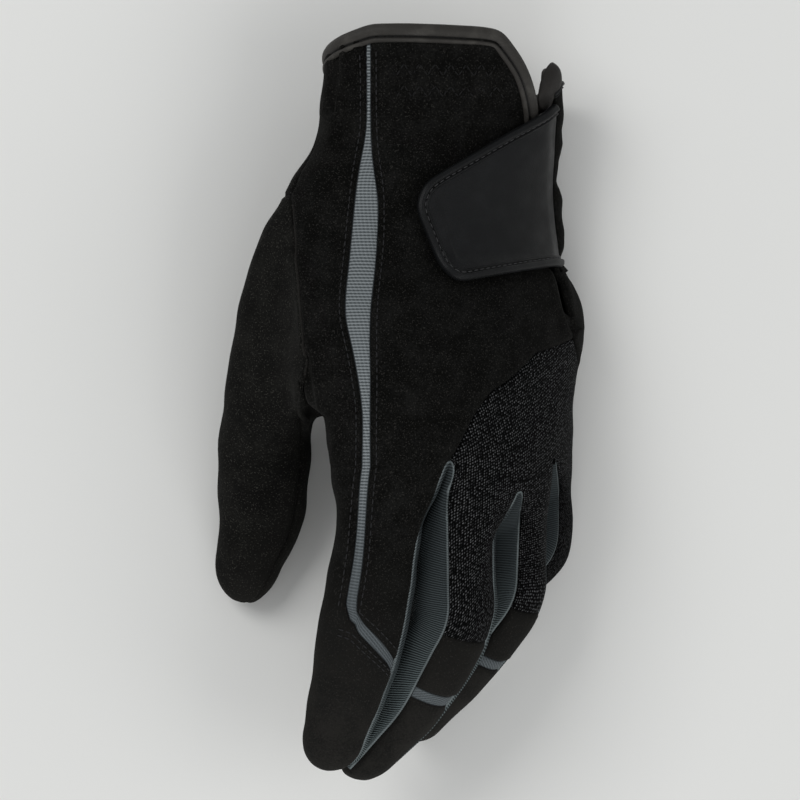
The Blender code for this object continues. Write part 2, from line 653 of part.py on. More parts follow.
def plate(hand, angles, ys, layer, drop=0.0):
    """A closed plate over the hand between two heights, on a grid of angles and Y, lowered by any drop."""
    base = hand.point(angles, ys)
    normals = hand.normal(angles, ys)
    rows, columns = angles.shape
    count = rows * columns
    index = np.arange(count).reshape(rows, columns)
    quads = np.stack((index[:-1, :-1], index[1:, :-1], index[1:, 1:], index[:-1, 1:]), axis=2).reshape(-1, 4)
    loop = np.concatenate((index[:-1, 0], index[-1, :-1], index[:0:-1, -1], index[0, :0:-1]))
    following = np.roll(loop, -1)
    sides = np.stack((following, loop, loop + count, following + count), axis=1)
    faces = quads.tolist() + (quads[:, ::-1] + count).tolist() + sides.tolist()
    lowered = np.broadcast_to(drop, angles.shape)[..., None]
    top, low = (base + normals * (height - lowered) for height in (layer[1], layer[0]))
    return np.concatenate((top.reshape(-1, 3), low.reshape(-1, 3))), faces


def plan_grid(hand, xs, ys):
    return np.array([[hand.angle_at(x, y) for x, y in zip(*row)] for row in zip(xs, ys)])


def patch(hand, x_range, y_range, layer, rows, columns):
    """A plate that is a rectangle seen from above."""
    ys, xs = np.meshgrid(np.linspace(*y_range, rows + 1), np.linspace(*x_range, columns + 1), indexing="ij")
    return plate(hand, plan_grid(hand, xs, ys), ys, layer)


def slit_palm_angle(knots, ys):
    return smooth_line(ys, knots["slit_palm"])


def tab_grid(hand, knots):
    """Angles and Y of the tab, rows from its top to its lower edge, columns from its free end to its root,
    and how far each column is let down at the root. Its edges are straight seen from above."""
    shares = np.concatenate((np.linspace(0.0, TAB_CORNER, 9), (0.92, 0.97, 1.0)))[::-1]
    cut = 1 - TAB_CORNER_CUT * np.clip((shares - TAB_CORNER) / (1 - TAB_CORNER), 0.0, 1.0) ** 2
    down = 0.5 + (np.linspace(0.0, 1.0, 9)[:, None] - 0.5) * cut
    top_y = TAB_TOP[0] + (TAB_TOP[1] - TAB_TOP[0]) * shares
    low_y = TAB_BOTTOM[0] + (TAB_BOTTOM[1] - TAB_BOTTOM[0]) * shares
    ys = top_y + (low_y - top_y) * down
    end_x = TAB_END[0] + (TAB_END[1] - TAB_END[0]) * down
    root_y = TAB_TOP[0] + (TAB_BOTTOM[0] - TAB_TOP[0]) * down
    root_x = hand.point(slit_palm_angle(knots, root_y) - TAB_ROOT_OVERLAP, root_y)[..., 0]
    drops = TAB_ROOT_DROP * (1 - ease(shares / TAB_ROOT_RUN))
    return plan_grid(hand, root_x + (end_x - root_x) * shares, ys), ys, np.broadcast_to(drops, ys.shape)


def closure(hand, knots):
    """The pieces of the closure by name, as points and faces, and the two ends of the tab's root line."""
    bodies = {}
    ys = np.linspace(*STRIP_YS, 10)[:, None] + np.zeros(5)
    top = slit_palm_angle(knots, ys[:, :1])
    bodies["closure_strip"] = plate(hand, top - np.linspace(*STRIP_SPAN, 5), ys, STRIP_LAYER)
    bodies["loop_pad"] = patch(hand, PAD_XS, PAD_YS, LOOP_LAYER, 5, 6)
    bodies["hook_pad"] = patch(hand, PAD_XS, PAD_YS, HOOK_LAYER, 5, 6)
    cuff = min(COLUMN_ENDS[name][0] for name in ("stripe_left", "stripe_right", "web1", "web2", "web3"))
    elastic_ys = [cuff - drop for drop in ELASTIC_DROPS]
    bodies["wrist_elastic"] = patch(hand, ELASTIC_XS, elastic_ys, ELASTIC_LAYER, 3, 8)
    angles, ys, drops = tab_grid(hand, knots)
    bodies["tab_panel"] = plate(hand, angles, ys, TAB_LAYER, drops)
    edge = [(0, c) for c in range(angles.shape[1] - 1, -1, -1)]
    edge += [(r, 0) for r in range(1, angles.shape[0])]
    edge += [(angles.shape[0] - 1, c) for c in range(1, angles.shape[1])]
    rim_angles = np.array([angles[cell] for cell in edge])
    rim_ys = np.array([ys[cell] for cell in edge])
    rim_heights = np.array([TAB_LAYER[1] - drops[cell] for cell in edge])
    normals = hand.normal(rim_angles, rim_ys)
    path = hand.point(rim_angles, rim_ys) + normals * rim_heights[:, None]
    profile = fold_profile(TAB_LAYER[1] - TAB_LAYER[0], TAB_FOLD, TAB_REACH)
    bodies["tab_binding"] = sweep(path, normals, profile)
    return bodies, path[[-1, 0]]


STRETCH = ("stretch_stripe", "index_middle_gusset", "middle_ring_gusset", "ring_little_gusset",
           "middle_stretch_strip", "ring_stretch_strip")
MOVING = ("tab_panel", "tab_binding", "hook_pad")

# Colours as red, green and blue shares, then roughness
FINISHES = {
    "suede": ((0.0075, 0.0074, 0.0070), 0.85),
    "stretch_rib": ((0.200, 0.215, 0.230), 0.70),
    "gusset_rib": ((0.030, 0.042, 0.046), 0.70),
    "knit_mesh": ((0.006, 0.006, 0.007), 0.60),
    "binding_leather": ((0.036, 0.034, 0.031), 0.55),
    "tab_synthetic": ((0.011, 0.012, 0.014), 0.45),
    "hook_and_loop": ((0.010, 0.010, 0.011), 0.90),
    "elastic": ((0.012, 0.012, 0.013), 0.80),
}
SPECIAL_FINISHES = {
    "knuckle_mesh": "knit_mesh", "stretch_stripe": "stretch_rib", "middle_stretch_strip": "stretch_rib",
    "ring_stretch_strip": "stretch_rib", "index_middle_gusset": "gusset_rib",
    "middle_ring_gusset": "gusset_rib", "ring_little_gusset": "gusset_rib",
    "cuff_binding": "binding_leather", "tab_binding": "tab_synthetic",
    "tab_panel": "tab_synthetic", "loop_pad": "hook_and_loop", "hook_pad": "hook_and_loop",
    "wrist_elastic": "elastic",
}


def material_for(name):
    colour, roughness = FINISHES[SPECIAL_FINISHES.get(name, "suede")]
    material = bpy.data.materials.new(name)
    material.use_nodes = True
    shader = material.node_tree.nodes["Principled BSDF"]
    shader.inputs["Base Color"].default_value = (*colour, 1.0)
    shader.inputs["Roughness"].default_value = roughness
    shader.inputs["Metallic"].default_value = 0.0
    material.diffuse_color = (*colour, 1.0)
    return material


def add_object(name, points, faces, origin):
    """An object of its own, in metres, whose origin lies at the given point."""
    mesh = bpy.data.meshes.new(name)
    mesh.from_pydata(((points - origin) * MM).tolist(), [], faces)
    mesh.materials.append(material_for(name))
    mesh.polygons.foreach_set("use_smooth", [True] * len(mesh.polygons))
    mesh.update()
    thing = bpy.data.objects.new(name, mesh)
    thing.location = origin * MM
    bpy.context.scene.collection.objects.link(thing)


def build_bodies():
    """Every piece as points and faces, and the two ends of the tab's root line, standing on the origin."""
    hand = Hand()
    grid = hand_grid(hand)
    skin = Skin()
    skin.add(grid, hand_labels())
    add_fingers(skin, hand, grid)
    add_thumb(skin, hand, grid)
    points, faces, names = skin.weld()
    normals = point_normals(points, faces)
    steps = wall_steps(points, faces)
    place = {tuple(point): k for k, point in enumerate(points)}

    def normals_of(path):
        return normals[[place[tuple(point)] for point in np.round(path, 3)]]

    bodies, root = closure(hand, column_angles(hand))
    bodies["cuff_binding"] = cuff_binding(grid, normals_of)
    for name in sorted(set(names)):
        own = [face for face, label in zip(faces, names) if label == name]
        wall = STRETCH_WALL if name in STRETCH else KNIT_WALL if name == "knuckle_mesh" else SUEDE_WALL
        bodies[name] = cut_panel(points, normals, steps, own, wall)
    everything = np.concatenate([body[0] for body in bodies.values()])
    low, high = everything.min(axis=0), everything.max(axis=0)
    foot = np.array(((low[0] + high[0]) / 2, (low[1] + high[1]) / 2, low[2]))
    return {name: (body[0] - foot, body[1]) for name, body in bodies.items()}, root - foot


def main():
    for thing in list(bpy.data.objects):
        bpy.data.objects.remove(thing, do_unlink=True)
    bodies, root = build_bodies()
    for name, (points, faces) in bodies.items():
        add_object(name, points, faces, root.mean(axis=0) if name in MOVING else np.zeros(3))


if __name__ == "__main__":
    main()
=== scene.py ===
"""Looks of a left-hand golf glove: suede panels, mesh over the knuckles, stretch cloth between the fingers.

The skin of the glove is worked out as grids of points: the hand is a flattened section carried from the cuff
to the fingers, and each finger and the thumb is a tube that leaves it. Every sewn panel is the set of cells
between its seams, drawn in at its edges and given its thickness. Bindings are a bead carried along an edge,
and stitches are short capsules laid along a seam. Lengths are millimetres until a mesh is made.
"""

import logging
import math
from dataclasses import dataclass
from enum import Enum
from typing import Callable, Sequence

import bpy
import numpy as np
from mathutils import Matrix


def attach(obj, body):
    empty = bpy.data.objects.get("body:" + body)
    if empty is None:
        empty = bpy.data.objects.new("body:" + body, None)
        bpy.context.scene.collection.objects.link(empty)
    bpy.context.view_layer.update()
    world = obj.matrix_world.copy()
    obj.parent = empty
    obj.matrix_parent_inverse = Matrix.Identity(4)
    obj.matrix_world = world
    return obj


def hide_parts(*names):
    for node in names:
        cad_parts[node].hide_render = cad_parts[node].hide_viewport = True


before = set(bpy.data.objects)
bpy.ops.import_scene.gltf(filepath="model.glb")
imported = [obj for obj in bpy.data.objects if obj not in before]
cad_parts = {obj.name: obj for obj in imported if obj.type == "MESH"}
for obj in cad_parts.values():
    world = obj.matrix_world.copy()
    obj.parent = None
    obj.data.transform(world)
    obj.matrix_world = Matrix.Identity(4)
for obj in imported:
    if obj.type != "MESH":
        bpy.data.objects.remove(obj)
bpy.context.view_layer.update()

MM = 0.001
Array = np.ndarray
Pair = tuple[float, float]
Triple = tuple[float, float, float]
Counts = tuple[int, ...]
Knots = Sequence[Pair]
Surface = Callable[[Array, Array], Array]
Tree = bpy.types.NodeTree
Socket = bpy.types.NodeSocket

# From the plan that the seams are drawn on to the frame, whose origin is under the middle of the glove
PLAN_SHIFT = np.array((0.7675, -0.5092, 0.0))

# Steps inside one cell of the seam plan, closer together next to the seams
CELL_STEPS = np.array((0.0, 0.06, 0.16, 0.31, 0.5, 0.69, 0.84, 0.94))
STEPS = len(CELL_STEPS)

# Grid lines from a seam to the point that shows which way the cloth runs off it
BESIDE = 3

# Width of the stretch strips across the fingers
STRIP_WIDTH = 3.6

# Least height of the cloth over the floor
FLOOR_GAP = 0.02

log = logging.getLogger("glove")


class Body(Enum):
    """The bodies of the frame that a piece can ride on."""

    GLOVE = "glove"
    TAB = "closure_tab"


class Slot(Enum):
    """The record's material slots."""

    SUEDE = "suede"
    STRIPE = "stretch_rib"
    GUSSET = "gusset_rib"
    MESH = "knit_mesh"
    BINDING = "binding_leather"
    TAB = "tab_synthetic"
    TAPE = "hook_and_loop"
    ELASTIC = "elastic"


# Numbers and curves


def smooth_line(x: Array, knots: Knots) -> Array:
    """Value on a smooth line through knots: cubic pieces whose slopes are harmonic means, so none overshoots.

    Args:
        x: Where to read the line.
        knots: Pairs of place and value.

    Returns:
        The values, in the shape of x.
    """
    table = np.array(sorted(knots), float)
    xs, ys = table[:, 0], table[:, 1]
    step = np.diff(xs)
    rise = np.diff(ys) / step
    slope = np.concatenate(([rise[0]], np.zeros(len(xs) - 2), [rise[-1]]))
    same = rise[:-1] * rise[1:] > 0
    slope[1:-1][same] = 2.0 / (1.0 / rise[:-1][same] + 1.0 / rise[1:][same])
    x = np.clip(x, xs[0], xs[-1])
    i = np.clip(np.searchsorted(xs, x, side="right") - 1, 0, len(xs) - 2)
    t = (x - xs[i]) / step[i]
    return ((1 + 2 * t) * (1 - t) ** 2 * ys[i] + t * (1 - t) ** 2 * step[i] * slope[i]
            + t * t * (3 - 2 * t) * ys[i + 1] + t * t * (t - 1) * step[i] * slope[i + 1])


def drawn(knots: Knots, pitch: float = 2.0) -> list[Pair]:
    """A smooth line through knots as closer knots, about a pitch apart, with its corners eased."""
    places = [place for place, _ in knots]
    x = np.linspace(min(places), max(places), int(np.ptp(places) / pitch) + 2)
    return list(map(tuple, soften(np.stack((x, smooth_line(x, knots)), axis=1), 6)))


def ease(t: Array) -> Array:
    """Share from 0 to 1 as 3t² - 2t³, so that it starts and ends without a kink."""
    t = np.clip(t, 0.0, 1.0)
    return t * t * (3 - 2 * t)


def unit(vectors: Array) -> Array:
    """Vectors scaled to length 1 along their last axis."""
    return vectors / np.maximum(np.linalg.norm(vectors, axis=-1, keepdims=True), 1e-12)


def bell(distance: Array, width: float) -> Array:
    """Soft bump exp(-(distance / width)²)."""
    return np.exp(-(distance / width) ** 2)


def fine(cells: int) -> Array:
    """Places of the grid lines over a number of cells, as fractions of a cell, with the last line."""
    lines = (np.arange(cells)[:, None] + CELL_STEPS).ravel()
    return np.append(lines, float(cells))


def run_length(path: Array) -> Array:
    """Length along a path at each of its points."""
    return np.concatenate(([0.0], np.cumsum(np.linalg.norm(np.diff(path, axis=0), axis=1))))


def resample(path: Array, pitch: float, *others: Array) -> tuple[Array, ...]:
    """A path, and rows that go with it, read again at even steps of length.

    Args:
        path: Points along the path.
        pitch: Wanted step, rounded so that the steps fill the path.
        others: Arrays with a row for each point of the path.

    Returns:
        The path and the others at the new steps.
    """
    length = run_length(path)
    at = np.linspace(0.0, length[-1], max(2, int(round(length[-1] / pitch)) + 1))
    return tuple(np.stack([np.interp(at, length, column) for column in rows.T], axis=1)
                 for rows in (path, *others))


def soften(path: Array, passes: int) -> Array:
    """A path whose inner points are moved to the mean (a + 2b + c) / 4 of themselves and their neighbours."""
    path = path.copy()
    for _ in range(passes):
        path[1:-1] = (path[:-2] + 2 * path[1:-1] + path[2:]) / 4
    return path


def unevenness(points: Array, waves: Sequence[float], seed: int) -> Array:
    """Slow unevenness of cloth: a mean of sines, each along its own direction, with a height of about 1.

    Args:
        points: Places, in millimetres.
        waves: Wavelength of each sine.
        seed: Start of the random draws.

    Returns:
        A height for each point.
    """
    draw = np.random.default_rng(seed)
    ways = unit(draw.normal(size=(len(waves), 3)))
    phases = draw.uniform(0.0, 2 * np.pi, len(waves))
    turns = points @ (ways * (2 * np.pi / np.asarray(waves))[:, None]).T + phases
    return np.sin(turns).sum(axis=-1) / math.sqrt(len(waves))


# The hand and its seam plan


@dataclass(frozen=True)
class Station:
    """A section across the hand at one Y: edges seen from above, thickness, and lean and arch in degrees."""

    y: float
    left: float
    right: float
    thickness: float
    lean: float
    arch: float


STATIONS = tuple(Station(*row) for row in (
    (-70.0, -22.0, 51.6, 26.0, 44.0, 86.0),
    (-18.0, -22.0, 51.6, 26.0, 44.0, 86.0),
    (5.0, -29.5, 52.5, 29.0, 40.0, 74.0),
    (24.0, -34.0, 55.0, 31.0, 35.5, 60.0),
    (36.0, -34.9, 52.0, 32.6, 32.9, 53.1),
    (45.0, -35.5, 46.8, 34.0, 31.0, 48.0),
    (64.0, -35.0, 44.8, 37.0, 29.0, 38.0),
    (78.0, -26.5, 45.4, 39.0, 27.0, 30.0),
    (95.0, -23.5, 47.0, 41.0, 25.0, 25.0),
    (116.0, -21.5, 47.0, 42.0, 23.0, 25.0),
))


@dataclass
class HandForm:
    """The tube of the hand, addressed by the angle round it in degrees and by Y.

    180 is the thumb side, 90 the back, 0 the little-finger side and -90 the palm. The section is the squared
    ellipse (b·c(a), d·s(a)) whose mid line leans and arches, widened until it meets the outline at its Y.
    """

    stations: tuple[Station, ...] = STATIONS
    squareness: float = 0.85
    press: float = 0.8
    cuff_lift: float = 2.4
    cuff_lift_start: float = 82.0
    cuff_lift_length: float = 16.0
    section_samples: int = 181
    arc_samples: int = 201
    fit_passes: int = 12
    back_span: Pair = (192.0, -14.0)
    halvings: int = 40
    girth_step: float = 2.0
    girth_reach: float = 200.0
    back_angle: float = 90.0

    def __post_init__(self) -> None:
        """Works the sections out at every millimetre of Y."""
        self.ys = np.arange(self.stations[0].y, self.stations[-1].y + 1.0, 1.0)
        left, right, thickness, lean, arch = (
            smooth_line(self.ys, [(s.y, getattr(s, name)) for s in self.stations])
            for name in ("left", "right", "thickness", "lean", "arch"))
        self.depth = thickness / 2
        self.lean = np.radians(lean)
        self.arch = np.radians(arch)
        angles = np.linspace(-180.0, 180.0, self.section_samples)
        self.breadth = (right - left) / 2
        for _ in range(self.fit_passes):
            x, z = self._section(angles[None, :], *(row[:, None] for row in (
                self.breadth, self.depth, self.lean, self.arch)))
            self.breadth = self.breadth * (right - left) / (x.max(axis=1) - x.min(axis=1))
        self.x0 = left - x.min(axis=1)
        lift = self.cuff_lift * ease((self.ys - self.cuff_lift_start) / self.cuff_lift_length)
        self.z0 = lift - self.press - z.min(axis=1)

    def _squared(self, value: Array) -> Array:
        """A sine or cosine pushed outwards, as the sign times the size to the power of the squareness."""
        return np.sign(value) * np.abs(value) ** self.squareness

    def _section(self, angle: Array, breadth: Array, depth: Array, lean: Array,
                 arch: Array) -> tuple[Array, Array]:
        """X and Z of a section at angles, from its half breadth and half depth."""
        along, above = (size * self._squared(wave(np.radians(angle)))
                        for size, wave in ((breadth, np.cos), (depth, np.sin)))
        return self._bend(along, above, lean, arch / (2 * breadth))

    def _bend(self, along: Array, above: Array | float, lean: Array, curl: Array) -> tuple[Array, Array]:
        """X and Z of places along an arc of a lean and a curl, and square to it above."""
        turn = lean + curl * along
        x = (np.sin(turn) - np.sin(lean)) / curl + above * np.sin(turn)
        z = (np.cos(turn) - np.cos(lean)) / curl + above * np.cos(turn)
        return x, z

    def point(self, angle: Array, y: Array) -> Array:
        """Points of the skin at angles and Y of the same shape.

        Args:
            angle: Degrees round the hand.
            y: Y of each.

        Returns:
            Points, with their coordinates last.
        """
        angle, y = np.broadcast_arrays(np.asarray(angle, float), np.asarray(y, float))
        at = [np.interp(y, self.ys, row) for row in (self.breadth, self.depth, self.lean, self.arch)]
        x, z = self._section(angle, *at)
        return np.stack((x + np.interp(y, self.ys, self.x0), y, z + np.interp(y, self.ys, self.z0)), axis=-1)

    def normal(self, angle: Array, y: Array) -> Array:
        """Outward normals, from small steps round and along the skin."""
        across = self.point(angle - 1.0, y) - self.point(angle + 1.0, y)
        along = self.point(angle, y + 0.5) - self.point(angle, y - 0.5)
        return unit(np.cross(across, along))

    def over(self, angle: Array, y: Array, height: Array | float) -> Array:
        """Points of the skin, raised along its normals by a height."""
        return self.point(angle, y) + np.asarray(height)[..., None] * self.normal(angle, y)

    def middle(self, x: float, y: float) -> Array:
        """Point half way between the back and the palm, at x and y seen from above."""
        along = np.linspace(-1.0, 1.0, self.arc_samples) * np.interp(y, self.ys, self.breadth)
        lean, arch = (np.interp(y, self.ys, row) for row in (self.lean, self.arch))
        xs, zs = self._bend(along, 0.0, lean, arch / (2 * along[-1]))
        x0, z0 = (np.interp(y, self.ys, row) for row in (self.x0, self.z0))
        return np.array((x, y, np.interp(x, xs + x0, zs + z0)))

    def angle_at(self, x: Array, y: Array) -> Array:
        """Angle on the back whose point lies at x seen from above, found by halving the range.

        Args:
            x: X seen from above.
            y: Y of each.

        Returns:
            Angles in degrees.
        """
        x, y = np.broadcast_arrays(np.asarray(x, float), np.asarray(y, float))
        left, right = (np.full(x.shape, end) for end in self.back_span)
        for _ in range(self.halvings):
            middle = (left + right) / 2
            short = self.point(middle, y)[..., 0] < x
            left = np.where(short, middle, left)
            right = np.where(short, right, middle)
        return (left + right) / 2

    def girth(self, angle: Array, y: Array) -> Array:
        """Length round the section at y from the middle of the back, read between the lines of a table.

        Args:
            angle: Degrees round the hand.
            y: Y of each.

        Returns:
            Lengths in millimetres.
        """
        turns = np.arange(-self.girth_reach, self.girth_reach + 1.0, self.girth_step)
        sections = self.point(turns[None], self.ys[:, None])
        length = np.cumsum(np.linalg.norm(np.diff(sections, axis=1, prepend=sections[:, :1]), axis=2), axis=1)
        length = length[:, turns == self.back_angle] - length
        row = np.clip((y - self.ys[0]) / (self.ys[1] - self.ys[0]), 0.0, len(self.ys) - 1.001)
        column = np.clip((angle - turns[0]) / self.girth_step, 0.0, len(turns) - 1.001)
        i, j = row.astype(int), column.astype(int)
        upper = length[i, j] + (column - j) * (length[i, j + 1] - length[i, j])
        lower = length[i + 1, j] + (column - j) * (length[i + 1, j + 1] - length[i + 1, j])
        return upper + (row - i) * (lower - upper)

    def route(self, knots: Knots, ends: Knots = ()) -> list[Pair]:
        """Knots of angle against Y for a seam drawn as Y and X, with any knots that are angles already."""
        ys, xs = np.array(knots).T
        return [*zip(ys, self.angle_at(xs, ys)), *ends]


@dataclass
class HandSkin:
    """The hand's skin on its seam plan: u counts the cells round the hand and v the cells from the cuff."""

    form: HandForm
    thumb_seam: Knots = ((64.5, -33.2), (41.8, -31.5), (21.7, -29.6), (13.2, -29.0), (-3.0, -26.6))
    stripe_left: Knots = ((112.0, -10.85), (83.0, -10.6), (73.2, -12.4), (66.0, -13.4), (59.7, -14.1),
                          (45.0, -15.5), (27.5, -17.0), (18.0, -14.9), (8.4, -13.1), (-3.0, -11.7),
                          (-18.6, -12.0))
    stripe_right: Knots = ((112.0, -9.35), (83.0, -9.2), (73.2, -8.5), (66.0, -7.35), (59.7, -6.6),
                           (45.0, -7.2), (27.5, -9.0), (18.0, -9.2), (8.4, -9.0), (-3.0, -9.2), (-18.6, -9.2))
    slit_back: Knots = ((111.0, 29.0), (99.0, 37.0), (88.5, 39.6), (70.0, 40.2), (50.0, 42.4), (28.0, 49.0))
    finger_webs: Knots = ((-16.5, 14.6), (-26.0, 35.7), (-16.0, 46.4))
    back_rows: int = 18
    mesh_rows: int = 5
    slit_row: int = 16
    thumb_rows: Counts = (6, 15)
    mesh_bow: float = 0.6
    cuff_y: float = 112.0
    web_shares: tuple[float, ...] = (0.36, 0.66, 0.86)
    palm_angles: tuple[float, ...] = (-120.0, -82.0, -42.0)
    thumb_palm: Knots = ((112.0, -156.0), (78.0, -150.0), (64.5, -138.0), (30.0, -118.0), (0.0, -122.0),
                         (-20.0, -138.0))
    slit_gaps: Knots = ((112.0, 26.0), (88.0, 14.0), (28.0, 5.0), (-12.0, 12.0))
    side_ends: Knots = ((112.0, 188.0), (84.0, 186.0), (-18.0, 184.0))
    slit_end: Pair = (-10.0, -14.0)
    palm_dip: float = 86.0

    def __post_init__(self) -> None:
        """Sets the columns in order, with their cells, their Y at cuff, edge and fingers, and their angles.
        The rim dips on the palm beside the slit, so that its corner stands up as an ear."""
        columns = {
            "side": (2, 105.0, -18.0, -18.0), "stripe_left": (1, 111.5, -18.3, -18.3),
            "stripe_right": (4, 112.2, -18.3, -18.3), "web1": (3, 112.3, -16.5, -16.5),
            "web2": (2, 112.0, 5.0, -26.0), "web3": (2, 111.6, 15.8, -16.0),
            "slit_back": (1, 110.8, 20.0, -10.0), "slit_palm": (4, 100.5, 18.0, -12.0),
            "palm3": (3, self.palm_dip, -6.0, -32.0), "palm2": (3, 99.0, -14.0, -40.0),
            "palm1": (3, 99.5, -18.0, -36.0), "thumb_palm": (3, 101.5, -20.0, -20.0),
        }
        self.names = list(columns)
        self.cells = {name: row[0] for name, row in columns.items()}
        self.start = dict(zip(self.names, np.cumsum([0] + [row[0] for row in columns.values()][:-1])))
        self.count = sum(self.cells.values())
        self.rows = self.back_rows + self.mesh_rows
        self.ends = {name: row[1:] for name, row in columns.items()}
        self.knots = self._angle_knots()

    def _angle_knots(self) -> dict[str, Knots]:
        """Angle against Y of each named column."""
        form = self.form
        knots: dict[str, Knots] = {
            "side": form.route(self.thumb_seam, self.side_ends),
            "stripe_left": form.route(drawn(self.stripe_left)),
            "stripe_right": form.route(drawn(self.stripe_right)),
            "slit_back": form.route(self.slit_back, (self.slit_end,)),
            "thumb_palm": list(self.thumb_palm),
        }
        back = smooth_line(self.cuff_y, knots["slit_back"])
        stripe = smooth_line(self.cuff_y, knots["stripe_right"])
        for i, (y, x) in enumerate(self.finger_webs):
            at_web = float(form.angle_at(x, y))
            at_cuff = stripe + self.web_shares[i] * (back - stripe)
            knots[f"web{i + 1}"] = [(self.cuff_y, at_cuff), (y, at_web)]
            palm_end = self.ends[f"palm{i + 1}"][2]
            knots[f"palm{i + 1}"] = [(self.cuff_y, self.palm_angles[i]), (palm_end, -at_web)]
        ys = np.linspace(self.cuff_y, self.ends["slit_palm"][2], 40)
        gaps = smooth_line(ys, knots["slit_back"]) - smooth_line(ys, self.slit_gaps)
        knots["slit_palm"] = list(zip(ys, gaps))
        return knots

    def angles(self, u: Array, v: Array) -> tuple[Array, Array]:
        """Angle and Y on the seam plan: straight between the named columns, which follow their seams.

        Args:
            u: Cells round the hand from the thumb side.
            v: Cells from the cuff.

        Returns:
            Angles in degrees and Y.
        """
        u, v = np.broadcast_arrays(np.asarray(u, float), np.asarray(v, float))
        down_back = np.clip(v / self.back_rows, 0.0, 1.0)
        over_mesh = np.clip((v - self.back_rows) / self.mesh_rows, 0.0, 1.0)
        ys, turns = [], []
        for name in self.names:
            cuff, edge, end = self.ends[name]
            y = cuff + (edge - cuff) * down_back + (end - edge) * over_mesh
            ys.append(y)
            turns.append(smooth_line(y, self.knots[name]))
        ys, turns = np.stack(ys + [ys[0]]), np.stack(turns + [turns[0] - 360.0])
        edges = np.array([*self.start.values(), self.count], float)
        i = np.clip(np.searchsorted(edges, u, side="right") - 1, 0, len(edges) - 2)
        share = (u - edges[i]) / (edges[i + 1] - edges[i])
        bow = self.mesh_bow * np.sin(np.pi * share) * down_back * (1 - over_mesh)
        bow = np.where(i == self.names.index("web1"), bow, 0.0)

        def between(rows: Array) -> Array:
            """Rows of the named columns read straight between the two next to u."""
            low, high = (np.take_along_axis(rows, k[None], 0)[0] for k in (i, i + 1))
            return low + share * (high - low)

        return between(turns), between(ys) + bow

    def at(self, u: Array, v: Array) -> Array:
        """Points of the skin at places of the seam plan."""
        return self.form.point(*self.angles(u, v))

    def normal(self, u: Array, v: Array) -> Array:
        """Outward normals at places of the seam plan."""
        return self.form.normal(*self.angles(u, v))

    def labels(self) -> Array:
        """Name of the panel that each cell belongs to, empty where the skin is open."""
        names = np.full((self.rows, self.count), "palm_panel", dtype="<U32")
        at = self.start
        names[:, at["side"]:at["stripe_left"]] = "index_side_panel"
        names[:, at["stripe_left"]:at["stripe_right"]] = "stretch_stripe"
        names[:, at["stripe_right"]:at["slit_back"]] = "back_panel"
        names[self.back_rows:, at["stripe_right"]:at["slit_back"]] = "knuckle_mesh"
        names[:self.slit_row, at["slit_back"]:at["slit_palm"]] = ""
        names[self.thumb_rows[0]:self.thumb_rows[1], at["thumb_palm"]:] = ""
        return names


# Fingers


@dataclass(frozen=True)
class Finger:
    """A finger stall: bones from the knuckle out, each with its heading and dip in degrees.

    A heading of 0 points away from the cuff and turns towards the thumb side. Rolls, half widths and half
    depths run from the base over the middle joint to the tip. Seams are the angles of the panel edges round
    the tube, from the little-finger side over the back.
    """

    name: str
    start: Pair
    bones: Triple
    headings: Triple
    dips: Triple
    rolls: Triple
    half_widths: Triple
    half_depths: Triple
    cover_start: float
    strip_start: float
    seams: tuple[float, ...]

    @property
    def length(self) -> float:
        """Length from the knuckle to the tip."""
        return sum(self.bones)


FOUR_SEAMS = (135.0, 45.0, -45.0, -135.0)
INDEX = Finger("index", (-4.0, -19.0), (46.0, 28.0, 19.8), (9.0, 13.5, 17.0), (6.0, 12.0, 18.0),
               (10.0, 10.0, 10.0), (12.4, 13.0, 9.9), (10.4, 10.4, 8.2), 43.0, 43.0,
               (190.0, 128.0, 112.0, 26.0, -42.0, -125.0))
MIDDLE = Finger("middle", (15.9, -19.0), (46.0, 31.5, 27.0), (0.5, 29.0, 42.0), (8.0, 15.0, 18.0),
                (32.0, 42.0, 48.0), (11.2, 12.8, 8.8), (11.4, 11.8, 8.6), 48.0, 66.0, FOUR_SEAMS)
RING = Finger("ring", (33.2, -14.0), (44.0, 30.0, 26.0), (0.0, 35.0, 44.0), (8.0, 16.0, 20.0),
              (60.0, 52.0, 50.0), (9.6, 10.2, 8.0), (10.6, 10.6, 8.0), 45.0, 61.0, FOUR_SEAMS)
LITTLE = Finger("little", (42.3, -8.0), (36.5, 22.0, 22.0), (-1.0, 58.0, 84.0), (4.0, 5.0, 4.0),
                (80.0, 76.0, 70.0), (8.6, 8.6, 7.0), (9.2, 9.0, 7.2), 43.0, 0.0, (135.0, 30.0, 5.0, -135.0))
THUMB = Finger("thumb", (-32.5, 26.0), (42.0, 32.0, 23.0), (15.0, 4.0, 12.0), (32.0, 25.0, 10.0),
               (-6.0, -8.0, -10.0), (14.0, 13.4, 10.5), (13.0, 12.0, 9.0), 0.0, 0.0,
               (170.0, 15.0, -15.0, -170.0))
FINGERS = (INDEX, MIDDLE, RING, LITTLE)
GUSSETS = ("index_middle_gusset", "middle_ring_gusset", "ring_little_gusset")


